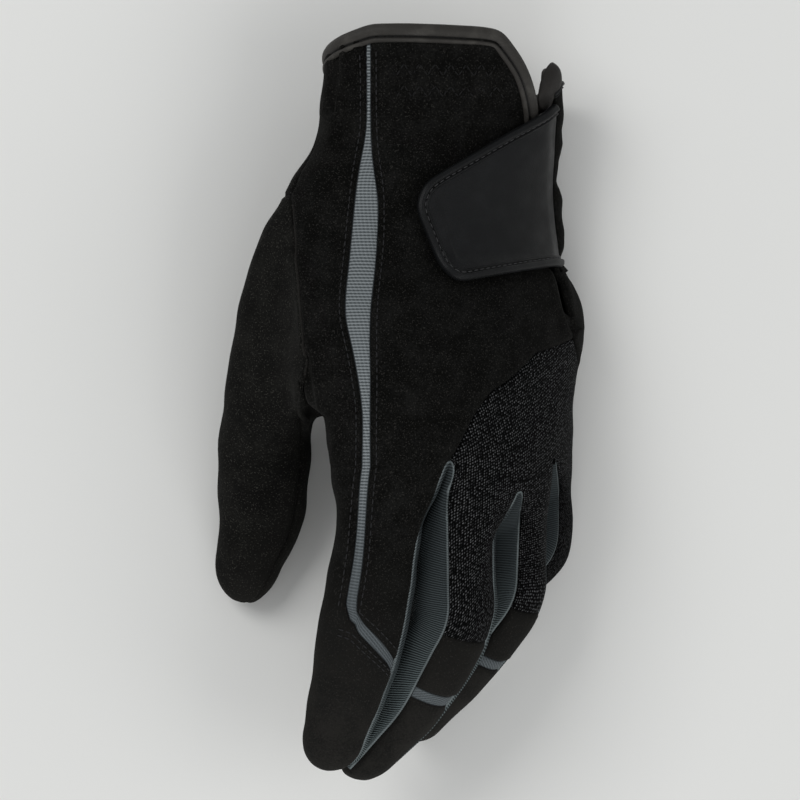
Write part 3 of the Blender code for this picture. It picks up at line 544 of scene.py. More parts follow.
@dataclass
class Tube:
    """A finger's tube along its bones, addressed by the angle round it and by the length along it."""

    finger: Finger
    start: Array
    joint_length: float = 16.0
    step: float = 0.5
    lead: float = 80.0
    tip_share: float = 1.25

    def __post_init__(self) -> None:
        """Sums the bones' direction along the finger and turns a frame round it by the rolls."""
        finger = self.finger
        first, second, _ = finger.bones
        self.s = np.append(np.arange(-self.lead, finger.length, self.step), finger.length)
        bends = [ease((self.s - joint) / self.joint_length + 0.5) for joint in (first, first + second)]
        heading, dip = (np.radians(a[0] + (a[1] - a[0]) * bends[0] + (a[2] - a[1]) * bends[1])
                        for a in (finger.headings, finger.dips))
        level = np.cos(dip)
        way = np.stack((-np.sin(heading) * level, -np.cos(heading) * level, -np.sin(dip)), axis=-1)
        base = np.searchsorted(self.s, 0.0)
        run = np.cumsum(way, axis=0) * self.step
        self.centre = self.start + run - run[base]
        up = unit(np.array((0.0, 0.0, 1.0)) - way[:, 2:] * way)
        right = np.cross(up, way)
        roll = np.radians(smooth_line(self.s, list(zip((0.0, first, finger.length), finger.rolls))))[:, None]
        self.back = np.cos(roll) * up + np.sin(roll) * right
        self.across = np.cos(roll) * right - np.sin(roll) * up
        self.way = way[base]
        tip = self.tip_share * finger.half_widths[2]
        cap = np.clip((self.s - (finger.length - tip)) / tip, 0.0, 1.0)
        ends = (0.0, first, finger.length - tip)
        self.width, self.depth = (smooth_line(self.s, list(zip(ends, sizes))) * np.sqrt(1.0 - cap ** 2)
                                  for sizes in (finger.half_widths, finger.half_depths))

    def point(self, angle: Array, s: Array) -> Array:
        """Centre + across · width · cos(angle) + back · depth · sin(angle), at lengths s.

        Args:
            angle: Degrees round the tube.
            s: Lengths along it.

        Returns:
            Points, with their coordinates last.
        """
        angle, s = np.broadcast_arrays(angle, s)
        turn = np.radians(angle)[..., None]
        centre, across, back = (
            np.stack([np.interp(s, self.s, axis[:, k]) for k in range(3)], axis=-1)
            for axis in (self.centre, self.across, self.back))
        width, depth = (np.interp(s, self.s, size)[..., None] for size in (self.width, self.depth))
        return centre + across * width * np.cos(turn) + back * depth * np.sin(turn)


@dataclass(frozen=True)
class Edge:
    """One stretch of a stall's base: a straight run on the seam plan, or a line between two of its places."""

    begin: Pair
    end: Pair
    cells: int
    web: bool = False


def spans(edges: list[Edge]) -> list[tuple[Edge, int, int]]:
    """The stretches of a base, each with its first and last column."""
    ends = np.cumsum([0] + [edge.cells for edge in edges]).tolist()
    return list(zip(edges, ends[:-1], ends[1:]))


def to_steps(labels: Array) -> Array:
    """Labels of cells, repeated for the steps inside each cell."""
    return np.repeat(np.repeat(labels, STEPS, axis=0), STEPS, axis=1)


@dataclass
class Patch:
    """A grid of skin: points, cloth coordinates across and along, extra height, and each cell's panel."""

    points: Array
    cloth: Array
    height: Array
    labels: Array


@dataclass
class Stall:
    """A finger or thumb on the hand: its ring at each row is the tube's, plus the offset of the tube from the
    base loop, which fades over the blend, while the slant of the base fades evenly over the run."""

    skin: HandSkin
    finger: Finger
    edges: list[Edge]
    rows: Array
    blend: Array
    run: float
    slope: Array
    sink: float = 0.0
    swell: float = 0.0
    swell_power: float = 0.7
    strip_slant: float = 12.0
    fold: float = 0.55
    fold_width: float = 1.6
    fold_places: tuple[float, ...] = (-3.2, 0.4, 3.6)
    fold_fade: float = 12.0
    web_spread: float = 1.25
    web_spread_start: float = 0.6
    web_spread_length: float = 11.0
    web_spread_reach: float = 3.2
    elbow_reaches: Pair = (6.5, 5.0)
    elbow_moves: Pair = (1.9, 1.0)
    elbow_power: float = 1.3

    def __post_init__(self) -> None:
        """Places the tube and the angles of the columns."""
        start = self.skin.form.middle(*self.finger.start) - np.array((0.0, 0.0, self.sink))
        self.tube = Tube(self.finger, start)
        self.spans = spans(self.edges)
        self.ends = np.array([0] + [last for _, _, last in self.spans])
        self.count = int(self.ends[-1])
        self.seam_turns = np.array([*self.finger.seams, self.finger.seams[0] - 360.0])

    def base(self, c: Array) -> Array:
        """Points of the base loop at columns c, each edge read straight along itself.

        Args:
            c: Columns, which may lie between two.

        Returns:
            A point for each column.
        """
        points = np.zeros(c.shape + (3,))
        for edge, first, last in self.spans:
            mine = (c >= first) & (c <= last)
            share = ((c[mine] - first) / edge.cells)[:, None]
            begin, end = np.array(edge.begin), np.array(edge.end)
            if edge.web:
                ends = self.skin.at(np.array((begin[0], end[0])), np.array((begin[1], end[1])))
                points[mine] = ends[0] + share * (ends[1] - ends[0])
            else:
                place = begin + share * (end - begin)
                points[mine] = self.skin.at(place[:, 0], place[:, 1])
        return points

    def cloth(self, c: Array, hand: Callable[[Array], Array] | None) -> Array:
        """Cloth coordinates of the base loop, carried on from the hand's, or along the loop itself.

        Args:
            c: Columns.
            hand: Across and along on the hand's last row at places u, or None for a stall with its own cloth.

        Returns:
            Across and along at each column.
        """
        points = self.base(c)
        across = run_length(points)
        if hand is None:
            across = np.where(c > self.ends[-2], across - across[-1], across)
            return np.stack((across, self.skin.cuff_y - points[:, 1]), axis=-1)
        cloth = np.zeros((len(c), 2))
        for edge, first, last in sorted(self.spans, key=lambda span: span[0].web):
            mine = (c >= first) & (c <= last)
            if edge.web:
                back = min(edge.begin[0], edge.end[0])
                start = self.skin.at(np.array((back,)), np.array((edge.begin[1],)))
                cloth[mine] = hand(np.array((back,)))
                cloth[mine, 0] += np.linalg.norm(points[mine] - start, axis=1)
            else:
                share = (c[mine] - first) / edge.cells
                cloth[mine] = hand(edge.begin[0] + share * (edge.end[0] - edge.begin[0]))
        return cloth

    def angles(self, c: Array) -> Array:
        """Angles round the tube at columns c."""
        return np.interp(c, self.ends, self.seam_turns)

    def at(self, c: Array, s: Array) -> Array:
        """Points at columns c of shape (n,) and lengths s of a shape that ends in n.

        Args:
            c: Columns, which may lie between two.
            s: Lengths along the tube.

        Returns:
            Points in the shape of s.
        """
        finger = self.finger
        base = self.base(c)
        angles = self.angles(c)
        coarse = np.arange(self.count + 1)
        blend = np.interp(c, coarse, np.append(self.blend, self.blend[0]))
        slope = np.interp(c, coarse, np.append(self.slope, self.slope[0]))
        offset_s = (base - self.tube.start) @ self.tube.way
        offset = base - self.tube.point(angles, offset_s)
        fade = 1.0 - ease(s / blend)
        slant = np.clip(1.0 - s / self.run, 0.0, 1.0)
        lean = 0.0
        if finger.strip_start:
            rest = finger.length - finger.strip_start - STRIP_WIDTH
            rise = np.clip(np.minimum(s / finger.strip_start, (finger.length - s) / rest), 0.0, 1.0)
            lean = self.strip_slant * rise * slope
        reach = np.minimum(s + offset_s * slant + lean, finger.length)
        points = self.tube.point(angles, reach) + fade[..., None] * offset
        outer = np.clip(-np.cos(np.radians(angles)), 0.0, 1.0)
        points[..., 0] -= self.swell * outer * np.sin(
            np.pi * np.clip(s / self.blend[0], 0.0, 1.0) ** self.swell_power)
        return points

    def patch(self, labels: Array, hand: Callable[[Array], Array] | None) -> Patch:
        """The stall's fine grid, with folds across the palm side of its joints.

        Args:
            labels: Panel of each cell of the seam plan.
            hand: Cloth coordinates on the hand's last row, or None for a stall with its own cloth.

        Returns:
            The grid.
        """
        c = fine(self.count)
        s = np.interp(fine(len(self.rows) - 1), np.arange(len(self.rows)), self.rows)[:, None]
        s = np.broadcast_to(s, (s.shape[0], len(c)))
        points = self.at(c, s)
        points[0] = self.base(c)
        points[-1] = points[-1].mean(axis=0)
        points[:, -1] = points[:, 0]
        if hand is not None:
            self._blunt_webs(points, s[:, 0])
        if self.finger.strip_start == self.finger.cover_start:
            self._round_elbow(points, s[:, 0])
        cloth = self.cloth(c, hand)[None] + np.stack((np.zeros(s.shape), s), axis=-1)
        first, second, _ = self.finger.bones
        inside = np.clip(-np.sin(np.radians(self.angles(c))), 0.0, 1.0)
        height = -self.fold * inside * sum(bell(s - joint - place, self.fold_width)
                                           for joint in (first, first + second) for place in self.fold_places)
        for left in (self.finger.length - s, s):
            height = height * np.clip(left / self.fold_fade, 0.0, 1.0)
        return Patch(points, cloth, height, to_steps(labels))

    def _blunt_webs(self, points: Array, s: Array) -> None:
        """Spreads each web's seam by w·(1 - exp(-s/t))·(1 - ease(s/l)), so that a gusset starts round.

        Args:
            points: The stall's grid, which is changed.
            s: Length along the tube of each row.
        """
        start, end = 1 - np.exp(-s / self.web_spread_start), 1 - ease(s / self.web_spread_length)
        spread = self.web_spread * start * end
        for edge, first, last in self.spans:
            if edge.web:
                from_back = edge.begin[0] < edge.end[0]
                column = (first if from_back else last) * STEPS
                seam = points[:, column]
                beside = points[:, column - BESIDE] if from_back else points[:, BESIDE]
                away = unit(beside - seam) * spread[:, None]
                gap = np.linalg.norm(points - seam[:, None], axis=2)
                points += bell(gap, self.web_spread_reach)[..., None] * away[:, None]

    def _round_elbow(self, points: Array, s: Array) -> None:
        """Rounds the two corners of the stripe's bend by moving them back, by cones (1 - distance / r)^p.

        Args:
            points: The stall's grid, which is changed.
            s: Length along the tube of each row.
        """
        lengths = (self.finger.strip_start + STRIP_WIDTH, self.finger.strip_start)
        for column, length, reach, move in zip((1, 2), lengths, self.elbow_reaches, self.elbow_moves):
            row, place = int(np.abs(s - length).argmin()), int(self.ends[column]) * STEPS
            corner = points[row, place].copy()
            way = unit(points[row, place + BESIDE] - corner) - unit(points[row + BESIDE, place] - corner)
            cone = np.clip(1 - np.linalg.norm(points - corner, axis=2) / reach, 0.0, 1.0) ** self.elbow_power
            points += move * cone[..., None] * way


@dataclass
class Stalls:
    """The four fingers and the thumb, built on the hand's openings."""

    skin: HandSkin
    wall_cells: int = 2
    tip_wall_rows: int = 2
    blend: float = 32.0
    crotch_blend: float = 14.0
    thumb_blend: float = 44.0
    thumb_run: float = 56.0
    thumb_sink: float = 13.2
    thumb_swell: float = 4.0
    thumb_stall_rows: int = 14
    thumb_row_power: float = 1.15
    thumb_back_cells: int = 8
    tip_rows: int = 7
    cover_rows: int = 6
    band_rows: int = 3

    def _rows(self, finger: Finger) -> tuple[Array, int, int, int]:
        """Lengths of a finger's rows, and the rows where its cover, its strip and its tip start.

        Args:
            finger: The finger.

        Returns:
            The lengths and the numbers of those three rows.
        """
        rows = list(np.linspace(0.0, finger.cover_start, self.cover_rows + 1)[:-1])
        cover = len(rows)
        if finger.strip_start > finger.cover_start:
            rows += list(np.linspace(finger.cover_start, finger.strip_start, self.band_rows + 1)[:-1])
        strip = len(rows)
        tip_start = finger.cover_start
        if finger.strip_start:
            rows.append(finger.strip_start)
            tip_start = finger.strip_start + STRIP_WIDTH
        tip = len(rows)
        turn = np.linspace(0.0, np.pi / 2, self.tip_rows + 1)
        rows += list(tip_start + (finger.length - tip_start) * np.sin(turn))
        return np.array(rows), cover, strip, tip

    def _edges(self, number: int) -> list[Edge]:
        """Stretches of a finger's base, from its back over the little-finger side and the palm.

        Args:
            number: The finger's place, from 0 for the index finger.

        Returns:
            The stretches in order.
        """
        skin = self.skin
        at, cells, low = skin.start, skin.cells, float(skin.rows)

        def hand(name: str) -> Edge:
            """The stretch of the hand from a named column to the next one."""
            return Edge((at[name], low), (at[name] + cells[name], low), cells[name])

        def web(index: int, up: bool) -> Edge:
            """The line between two fingers, from the back to the palm or up again."""
            ends = ((at[f"web{index}"], low), (at[f"palm{index}"], low))
            return Edge(*(ends[::-1] if up else ends), self.wall_cells, web=True)

        if number == 0:
            return [*map(hand, ("side", "stripe_left", "stripe_right")), web(1, False),
                    *map(hand, ("palm1", "thumb_palm"))]
        if number == 3:
            return [*map(hand, ("web3", "slit_back", "slit_palm")), web(3, True)]
        return [hand(f"web{number}"), web(number + 1, False), hand(f"palm{number + 1}"), web(number, True)]

    def finger(self, number: int) -> tuple[Stall, Array]:
        """A finger's stall and the panels of its cells.

        Args:
            number: The finger's place, from 0 for the index finger.

        Returns:
            The stall, and the panel's name for each cell.
        """
        finger = FINGERS[number]
        rows, cover, strip, tip = self._rows(finger)
        edges = self._edges(number)
        ends = np.cumsum([0] + [edge.cells for edge in edges])
        count = int(ends[-1])
        labels = np.full((len(rows) - 1, count), "palm_panel", dtype="<U32")
        slope = np.zeros(count)
        full = len(rows) - 1 - self.tip_wall_rows
        if number == 0:
            place = np.arange(count)
            slope = np.interp(place, (ends[2], ends[3], ends[4]), (0.0, 1.0, 0.0))
            slope[(place < ends[2]) | (place > ends[4])] = 0.0
            labels[:, :ends[3]] = "index_side_panel"
            labels[:strip, ends[2]:ends[3]] = "back_panel"
            labels[:tip, ends[1]:ends[2]] = "stretch_stripe"
            labels[strip:tip, ends[2]:ends[3]] = "stretch_stripe"
            labels[:full, ends[3]:ends[4]] = GUSSETS[0]
            labels[full:, ends[3]:ends[3] + 1] = "index_side_panel"
        else:
            labels[:cover, :ends[1]] = "knuckle_mesh"
            labels[cover:strip, :ends[1]] = f"{finger.name}_finger_band"
            labels[strip:tip, :ends[1]] = f"{finger.name}_stretch_strip"
            labels[tip:, :ends[1]] = f"{finger.name}_fingertip"
            labels[:full, ends[-2]:] = GUSSETS[number - 1]
            labels[full:, ends[-2] + 1:] = f"{finger.name}_fingertip"
            if number < 3:
                labels[:full, ends[1]:ends[2]] = GUSSETS[number]
                labels[full:, ends[1]:ends[1] + 1] = f"{finger.name}_fingertip"
        blend = np.full(count, self.blend)
        for edge, first, last in spans(edges):
            if edge.web:
                blend[np.arange(first, last + 1) % count] = self.crotch_blend
        return Stall(self.skin, finger, edges, rows, blend, finger.cover_start, slope), labels

    def thumb(self) -> tuple[Stall, Array]:
        """The thumb's stall, on the opening between its two seams, and the panels of its cells."""
        first, last = self.skin.thumb_rows
        edge, count = self.skin.start["thumb_palm"], self.skin.count
        side, across = last - first, count - edge
        edges = [Edge((0.0, first), (0.0, last), side), Edge((count, last), (edge, last), across),
                 Edge((edge, last), (edge, first), side), Edge((edge, first), (count, first), across)]
        turn = np.linspace(0.0, np.pi / 2, self.thumb_stall_rows + 1)
        power = self.thumb_row_power
        rows = THUMB.length * np.sin(turn ** power * (np.pi / 2) ** (1 - power))
        cells = 2 * (side + across)
        labels = np.full((self.thumb_stall_rows, cells), "thumb_palm_panel", dtype="<U32")
        labels[:, :self.thumb_back_cells] = "thumb_back_panel"
        labels[:, 2 * side + across:] = "thumb_back_panel"
        blend = np.full(cells, self.thumb_blend)
        stall = Stall(self.skin, THUMB, edges, rows, blend, self.thumb_run, np.zeros(cells),
                      sink=self.thumb_sink, swell=self.thumb_swell)
        return stall, labels


# Finishes

# The mesh layer of cloth coordinates: across, along, and the distance from the seam or the mask of painted
# shade in a groove
CLOTH_LAYER = "cloth_mm"

# Settings that many nodes share
SOFT = {"interpolation_type": "SMOOTHSTEP"}
TIMES_PLUS = {"operation": "MULTIPLY_ADD"}

# The height of a pattern, and what it drives of the shader's inputs
Pattern = tuple[Socket, dict[str, Socket]]


def linear(colour: str) -> tuple[float, float, float, float]:
    """An sRGB hex colour such as #1a2b3c as linear red, green and blue, with an alpha of 1."""
    shares = [int(colour[k:k + 2], 16) / 255 for k in (1, 3, 5)]
    return (*(c / 12.92 if c <= 0.04045 else ((c + 0.055) / 1.055) ** 2.4 for c in shares), 1.0)


def per_metre(size: float) -> float:
    """Scale of a pattern on Object coordinates whose marks have a size in millimetres."""
    return 1.0 / (size * MM)


def add_node(tree: Tree, kind: str, inputs: dict | Sequence = (),
             **settings: object) -> bpy.types.bpy_prop_collection:
    """Adds a shader node with its settings, and sets or links its inputs.

    Args:
        tree: The material's node tree.
        kind: The node's type, without the word that all of them start with.
        inputs: Values or output sockets, in the order of the inputs or by their names or numbers.
        settings: The node's own properties.

    Returns:
        The node's outputs.
    """
    node = tree.nodes.new("ShaderNode" + kind)
    for name, value in settings.items():
        setattr(node, name, value)
    for socket, value in inputs.items() if isinstance(inputs, dict) else enumerate(inputs):
        if isinstance(value, Socket):
            tree.links.new(value, node.inputs[socket])
        else:
            node.inputs[socket].default_value = value
    return node.outputs


def layered(tree: Tree, ground: str, *layers: tuple) -> Socket:
    """A ground colour with other colours over it, each mixed in by its own share.

    Args:
        tree: The material's node tree.
        ground: The lowest colour, as a hex value.
        layers: From below, the share's socket and the colour of each layer, as a hex value or a socket.

    Returns:
        The socket of the whole.
    """
    colour = linear(ground)
    for share, over in layers:
        over = linear(over) if isinstance(over, str) else over
        colour = add_node(tree, "Mix", {0: share, 6: colour, 7: over}, data_type="RGBA")[2]
    return colour


@dataclass(frozen=True)
class Finish:
    """What every finish shares: its name, its main colour, the gloss and the sheen of its surface, and its
    relief as a depth in millimetres and a strength."""

    name: str
    colour: str
    roughness: float = 0.8
    specular: float = 0.35
    sheen: float = 0.0
    sheen_roughness: float = 0.5
    sheen_colour: str = "#ffffff"
    relief: float = 0.1
    relief_strength: float = 0.5

    def material(self) -> bpy.types.Material:
        """The material of this name, made on its first use."""
        made = bpy.data.materials.get(self.name)
        return made if made else self._make()

    def _make(self) -> bpy.types.Material:
        """A new material with its shader's plain values set, its pattern drawn and its relief raised."""
        material = bpy.data.materials.new(self.name)
        material.use_nodes = True
        tree = material.node_tree
        shader = tree.nodes["Principled BSDF"]
        values = {"Base Color": linear(self.colour), "Roughness": self.roughness, "Metallic": 0.0,
                  "Specular IOR Level": self.specular, "Sheen Weight": self.sheen,
                  "Sheen Roughness": self.sheen_roughness, "Sheen Tint": linear(self.sheen_colour)}
        for socket, value in values.items():
            shader.inputs[socket].default_value = value
        material.diffuse_color = linear(self.colour)
        height, driven = self.draw(tree)
        bump = add_node(tree, "Bump", {"Height": height, "Distance": self.relief * MM,
                                       "Strength": self.relief_strength})[0]
        for socket, value in {**driven, "Normal": bump}.items():
            tree.links.new(value, shader.inputs[socket])
        return material

    def draw(self, tree: Tree) -> Pattern:
        """Draws the finish's pattern.

        Args:
            tree: The material's node tree.

        Returns:
            The socket of its height, and those that drive the shader's inputs.
        """
        raise NotImplementedError


@dataclass(frozen=True)
class SuedeMicrofibre(Finish):
    """Split-fibre cloth raised with emery: a matt black nap, clouded where it lies over, with pale ends, and
    fingertips painted paler as painted light.
    """

    relief: float = 0.25
    relief_strength: float = 0.45
    cloud: str = "#161615"
    fibre: str = "#262523"
    # Painted light: the fingertips are painted paler, as if more light fell on them
    wear_and_painted_light: str = "#232220"
    painted_tip_light_from: Pair = (140.0, 225.0)
    cloud_size: float = 8.0
    nap_size: float = 0.6
    fibre_size: float = 0.42
    details: Triple = (3.0, 2.0, 0.0)
    graininess: float = 0.6
    cloud_range: Pair = (0.8, 1.35)
    fibre_range: Pair = (0.64, 0.76)

    def draw(self, tree: Tree) -> Pattern:
        """Clouds from slow noise, the nap from fine noise, and fibre ends where a third noise peaks, with the
        fingertips painted paler as painted light. The fibre ends are drawn about twice too coarse, so that
        they show."""
        place = add_node(tree, "TexCoord")["Object"]
        sizes = (self.cloud_size, self.nap_size, self.fibre_size)
        clouds, nap, fibres = (
            add_node(tree, "TexNoise", {"Vector": place, "Scale": per_metre(size), "Detail": detail,
                                        "Roughness": self.graininess})[0]
            for size, detail in zip(sizes, self.details))
        blotch = add_node(tree, "Math", (clouds, nap), operation="ADD")[0]
        cloth = add_node(tree, "Attribute", attribute_name=CLOTH_LAYER)["Vector"]
        along = add_node(tree, "SeparateXYZ", (cloth,))[1]
        spans = ((along, self.painted_tip_light_from), (blotch, self.cloud_range), (fibres, self.fibre_range))
        wear_and_light_share, laid, ends = (add_node(tree, "MapRange", (value, *span), **SOFT)[0] for value, span in spans)
        # The fingertips get painted light; the clouds and the fibre ends are the nap's own tone
        colour = layered(tree, self.colour, (wear_and_light_share, self.wear_and_painted_light), (laid, self.cloud), (ends, self.fibre))
        return nap, {"Base Color": colour}


@dataclass(frozen=True)
class RibCloth(Finish):
    """Warp-knit stretch cloth: fine ribs across it, catching the light on top and dark between, with wales
    along it, and another colour where it turns into the seam and another towards the fingertip, both painted
    light and shade."""

    relief: float = 0.25
    relief_strength: float = 0.8
    valley: str = "#3f4548"
    # Painted light and shade: edge is painted where the cloth turns into the seam, tip towards the fingertip
    edge: str = "#8f979a"
    tip: str = "#5a6063"
    painted_tip_shading_from: Pair = (118.0, 172.0)
    rib: float = 0.95
    wale: float = 1.2
    slant: Pair = (0.0, 0.0)
    slant_from: Pair = (137.0, 200.0)
    edge_width: float = 1.0
    edge_core: float = 0.3
    wale_depth: float = 0.3
    top_range: Pair = (0.1, 1.15)

    def draw(self, tree: Tree) -> Pattern:
        """Ribs sin(2π·(along + slant·across) / rib) and wales sin(2π·across / wale), on cloth coordinates.
        The slant changes along the cloth. The ribs are drawn about twice too coarse, so that they show. Light
        and shade are painted in towards the fingertip and where the cloth turns into the seam."""
        cloth = add_node(tree, "Attribute", attribute_name=CLOTH_LAYER)["Vector"]
        across, along, inside = add_node(tree, "SeparateXYZ", (cloth,))
        slant = add_node(tree, "MapRange", (along, *self.slant_from, *self.slant), **SOFT)[0]
        slanted = add_node(tree, "Math", (across, slant, along), **TIMES_PLUS)[0]

        def wave(length: Socket, period: float) -> Socket:
            """A sine of a length, from 0 to 1."""
            turn = add_node(tree, "Math", (length, 2 * math.pi / period), operation="MULTIPLY")[0]
            sine = add_node(tree, "Math", (turn,), operation="SINE")[0]
            return add_node(tree, "Math", (sine, 0.5, 0.5), **TIMES_PLUS)[0]

        height = add_node(tree, "Math", (wave(across, self.wale), self.wale_depth, wave(slanted, self.rib)),
                          **TIMES_PLUS)[0]
        # Towards the fingertip and at the seam, light and shade are painted into the colour
        spans = ((along, self.painted_tip_shading_from), (height, self.top_range),
                 (inside, (self.edge_width, self.edge_core * self.edge_width)))
        far, high, painted_seam_edge = (add_node(tree, "MapRange", (value, *span), **SOFT)[0] for value, span in spans)
        top = layered(tree, self.colour, (far, self.tip))
        return height, {"Base Color": layered(tree, self.valley, (high, top), (painted_seam_edge, self.edge))}


@dataclass(frozen=True)
class KnitMesh(Finish):
    """Spacer mesh knitted from bright filament: rows of black loops, some of which glint as a painted
    highlight, with dark holes.
    """

    relief: float = 0.45
    relief_strength: float = 1.0
    loop: str = "#121314"
    # Painted highlight: the glint of a loop, painted into its colour
    painted_glint: str = "#6b6c6d"
    loop_size: float = 0.87
    loop_range: Pair = (0.42, 0.08)
    skew: float = 0.45
    disorder: float = 0.4

    def draw(self, tree: Tree) -> Pattern:
        """Loops are the cells of a nearly regular Voronoi pattern on cloth coordinates, its rows set askew,
        and its random value per cell says how much painted highlight, as a glint, a loop gets."""
        cloth = add_node(tree, "Attribute", attribute_name=CLOTH_LAYER)["Vector"]
        across, along, _ = add_node(tree, "SeparateXYZ", (cloth,))
        row = add_node(tree, "Math", (across, self.skew, along), **TIMES_PLUS)[0]
        place = add_node(tree, "CombineXYZ", (across, row))[0]
        cells = add_node(tree, "TexVoronoi", {"Vector": place, "Scale": 1.0 / self.loop_size,
                                              "Randomness": self.disorder}, voronoi_dimensions="2D")
        near = add_node(tree, "MapRange", (cells["Distance"], *self.loop_range), **SOFT)[0]
        chance = add_node(tree, "SeparateColor", (cells["Color"],))[0]
        # Each loop gets a random share of the painted highlight
        yarn_and_glint = layered(tree, self.loop, (chance, self.painted_glint))
        return near, {"Base Color": layered(tree, self.colour, (near, yarn_and_glint))}


@dataclass(frozen=True)
class GrainedSkin(Finish):
    """Thin coated or dressed leather: pressed grain cells with fine creases between, a little rubbed."""

    relief: float = 0.08
    relief_strength: float = 0.6
    wear_and_painted_light: str = "#4a4845"
    # Painted shade: the colour that the stitched groove of a binding is painted
    groove: str = "#060606"
    grain: float = 0.7
    grain_range: Pair = (0.0, 0.3)
    cloud_size: float = 6.0
    cloud_detail: float = 4.0
    rubbed_range: Pair = (0.45, 0.75)
    gloss_range: Pair = (0.3, 0.7)
    gloss_change: float = 0.08

    def draw(self, tree: Tree) -> Pattern:
        """Grain is a Voronoi pattern on Object coordinates, rubbed places are slow noise and glossier, and a
        stitched groove, which the third cloth coordinate marks, is painted dark as painted shade."""
        cloth = add_node(tree, "Attribute", attribute_name=CLOTH_LAYER)["Vector"]
        sunk = add_node(tree, "SeparateXYZ", (cloth,))[2]
        place = add_node(tree, "TexCoord")["Object"]
        cells = add_node(tree, "TexVoronoi", {"Vector": place, "Scale": per_metre(self.grain)},
                         feature="DISTANCE_TO_EDGE")
        grain = add_node(tree, "MapRange", (cells[0], *self.grain_range), **SOFT)[0]
        cloud = add_node(tree, "TexNoise", {"Vector": place, "Scale": per_metre(self.cloud_size),
                                            "Detail": self.cloud_detail})[0]
        wear_and_light_share = add_node(tree, "MapRange", (cloud, *self.rubbed_range), **SOFT)[0]
        gloss = (self.roughness + self.gloss_change, self.roughness - self.gloss_change)
        rough = add_node(tree, "MapRange", (cloud, *self.gloss_range, *gloss))[0]
        # The stitched groove is painted dark as painted shade
        colour = layered(tree, self.colour, (wear_and_light_share, self.wear_and_painted_light), (sunk, self.groove))
        return grain, {"Base Color": colour, "Roughness": rough}


@dataclass(frozen=True)
class FastenerTape(Finish):
    """Hook or loop tape: rows of short filament standing out of a woven ground."""

    relief: float = 0.4
    relief_strength: float = 0.9
    ground: str = "#0b0b0c"
    pitch: float = 1.3
    tuft_range: Pair = (0.55, 0.1)
    disorder: float = 0.4

    def draw(self, tree: Tree) -> Pattern:
        """Filament tufts are the cells of a Voronoi pattern on Object coordinates."""
        place = add_node(tree, "TexCoord")["Object"]
        cells = add_node(tree, "TexVoronoi", {"Vector": place, "Scale": per_metre(self.pitch),
                                              "Randomness": self.disorder})
        tuft = add_node(tree, "MapRange", (cells["Distance"], *self.tuft_range), **SOFT)[0]
        return tuft, {"Base Color": layered(tree, self.ground, (tuft, self.colour))}


@dataclass(frozen=True)
class FineGrain(Finish):
    """A plain surface broken by a fine grain: the two plies of spun polyester thread, which has a soft gloss,
    or the faint tooth of uncoated paper, which is matt."""

    grain: float = 0.5

    def draw(self, tree: Tree) -> Pattern:
        """The grain is a fine noise on Object coordinates."""
        place = add_node(tree, "TexCoord")["Object"]
        return add_node(tree, "TexNoise", {"Vector": place, "Scale": per_metre(self.grain)})[0], {}


# Its fingertips are painted paler as painted light
SUEDE = SuedeMicrofibre("suede_microfibre_sanded", "#070706", 0.95, 0.05, 0.02, 0.5, "#c8c6c0")
# A copy of the suede painted lighter, as painted light, because the thumb gets less light
THUMB_SUEDE_PAINTED_LIGHTER = SuedeMicrofibre("suede_microfibre_thumb", "#0d0d0c", 0.95, 0.05, 0.02, 0.5, "#c8c6c0",
                              cloud="#1a1a18", fibre="#302f2c")
# Suede painted paler as a painted highlight along the ridge of the thumb's seam
TURNED_SUEDE_PAINTED_HIGHLIGHT = SuedeMicrofibre("suede_microfibre_turned_edge", "#191816", 0.9, 0.1, cloud="#22211f")
# Painted shade along the stripe's seams and towards its fingertip end
STRIPE_RIB = RibCloth("stretch_stripe_warp_knit", "#858b8d", 0.75, 0.15, valley="#44494b", edge="#2c3032",
                      edge_width=0.5)
# Painted highlight along the gussets' seams and painted light towards the fingertips
GUSSET_RIB = RibCloth("gusset_stretch_warp_knit", "#3c4244", 0.8, 0.08, valley="#1d2122", edge="#737b7c",
                      tip="#5f696a", painted_tip_shading_from=(150.0, 215.0), rib=0.85, slant=(0.72, -0.34), wale_depth=0.0,
                      edge_width=0.8)
# Its loops carry a painted highlight as glints
MESH_KNIT = KnitMesh("spacer_mesh_filament_knit", "#020202", 0.8, 0.04)
# On bindings the stitched groove is painted dark as painted shade
BINDING_SKIN = GrainedSkin("binding_goatskin_dressed", "#2f2d2a", 0.55, 0.2, wear_and_painted_light="#403e3a")
EAR_SKIN = GrainedSkin("ear_goatskin_skived", "#262422", 0.6, 0.15, wear_and_painted_light="#33312e")
TAB_SKIN = GrainedSkin("tab_polyurethane_coated", "#0d0e0f", 0.46, 0.16, relief=0.04, wear_and_painted_light="#131415",
                       grain=0.5)
LOOP_TAPE = FastenerTape("loop_tape_brushed_nylon", "#1d1d1e", 0.9, 0.2)
HOOK_TAPE = FastenerTape("hook_tape_moulded_nylon", "#2a2a2b", 0.55, 0.4, pitch=1.0)
ELASTIC_WEB = FastenerTape("wrist_elastic_woven", "#232324", 0.8, 0.3, pitch=0.8)
GREY_THREAD = FineGrain("sewing_thread_polyester_grey", "#434344", 0.5, 0.3)
BLACK_THREAD = FineGrain("sewing_thread_polyester", "#1d1d1e", 0.6, 0.2)
DARK_THREAD = FineGrain("sewing_thread_polyester_dark", "#161616", 0.7, 0.15)
PAPER = FineGrain("floor_paper_uncoated", "#e4e4e1", 0.95, 0.1, relief=0.05, relief_strength=0.3, grain=1.5)


# Meshes


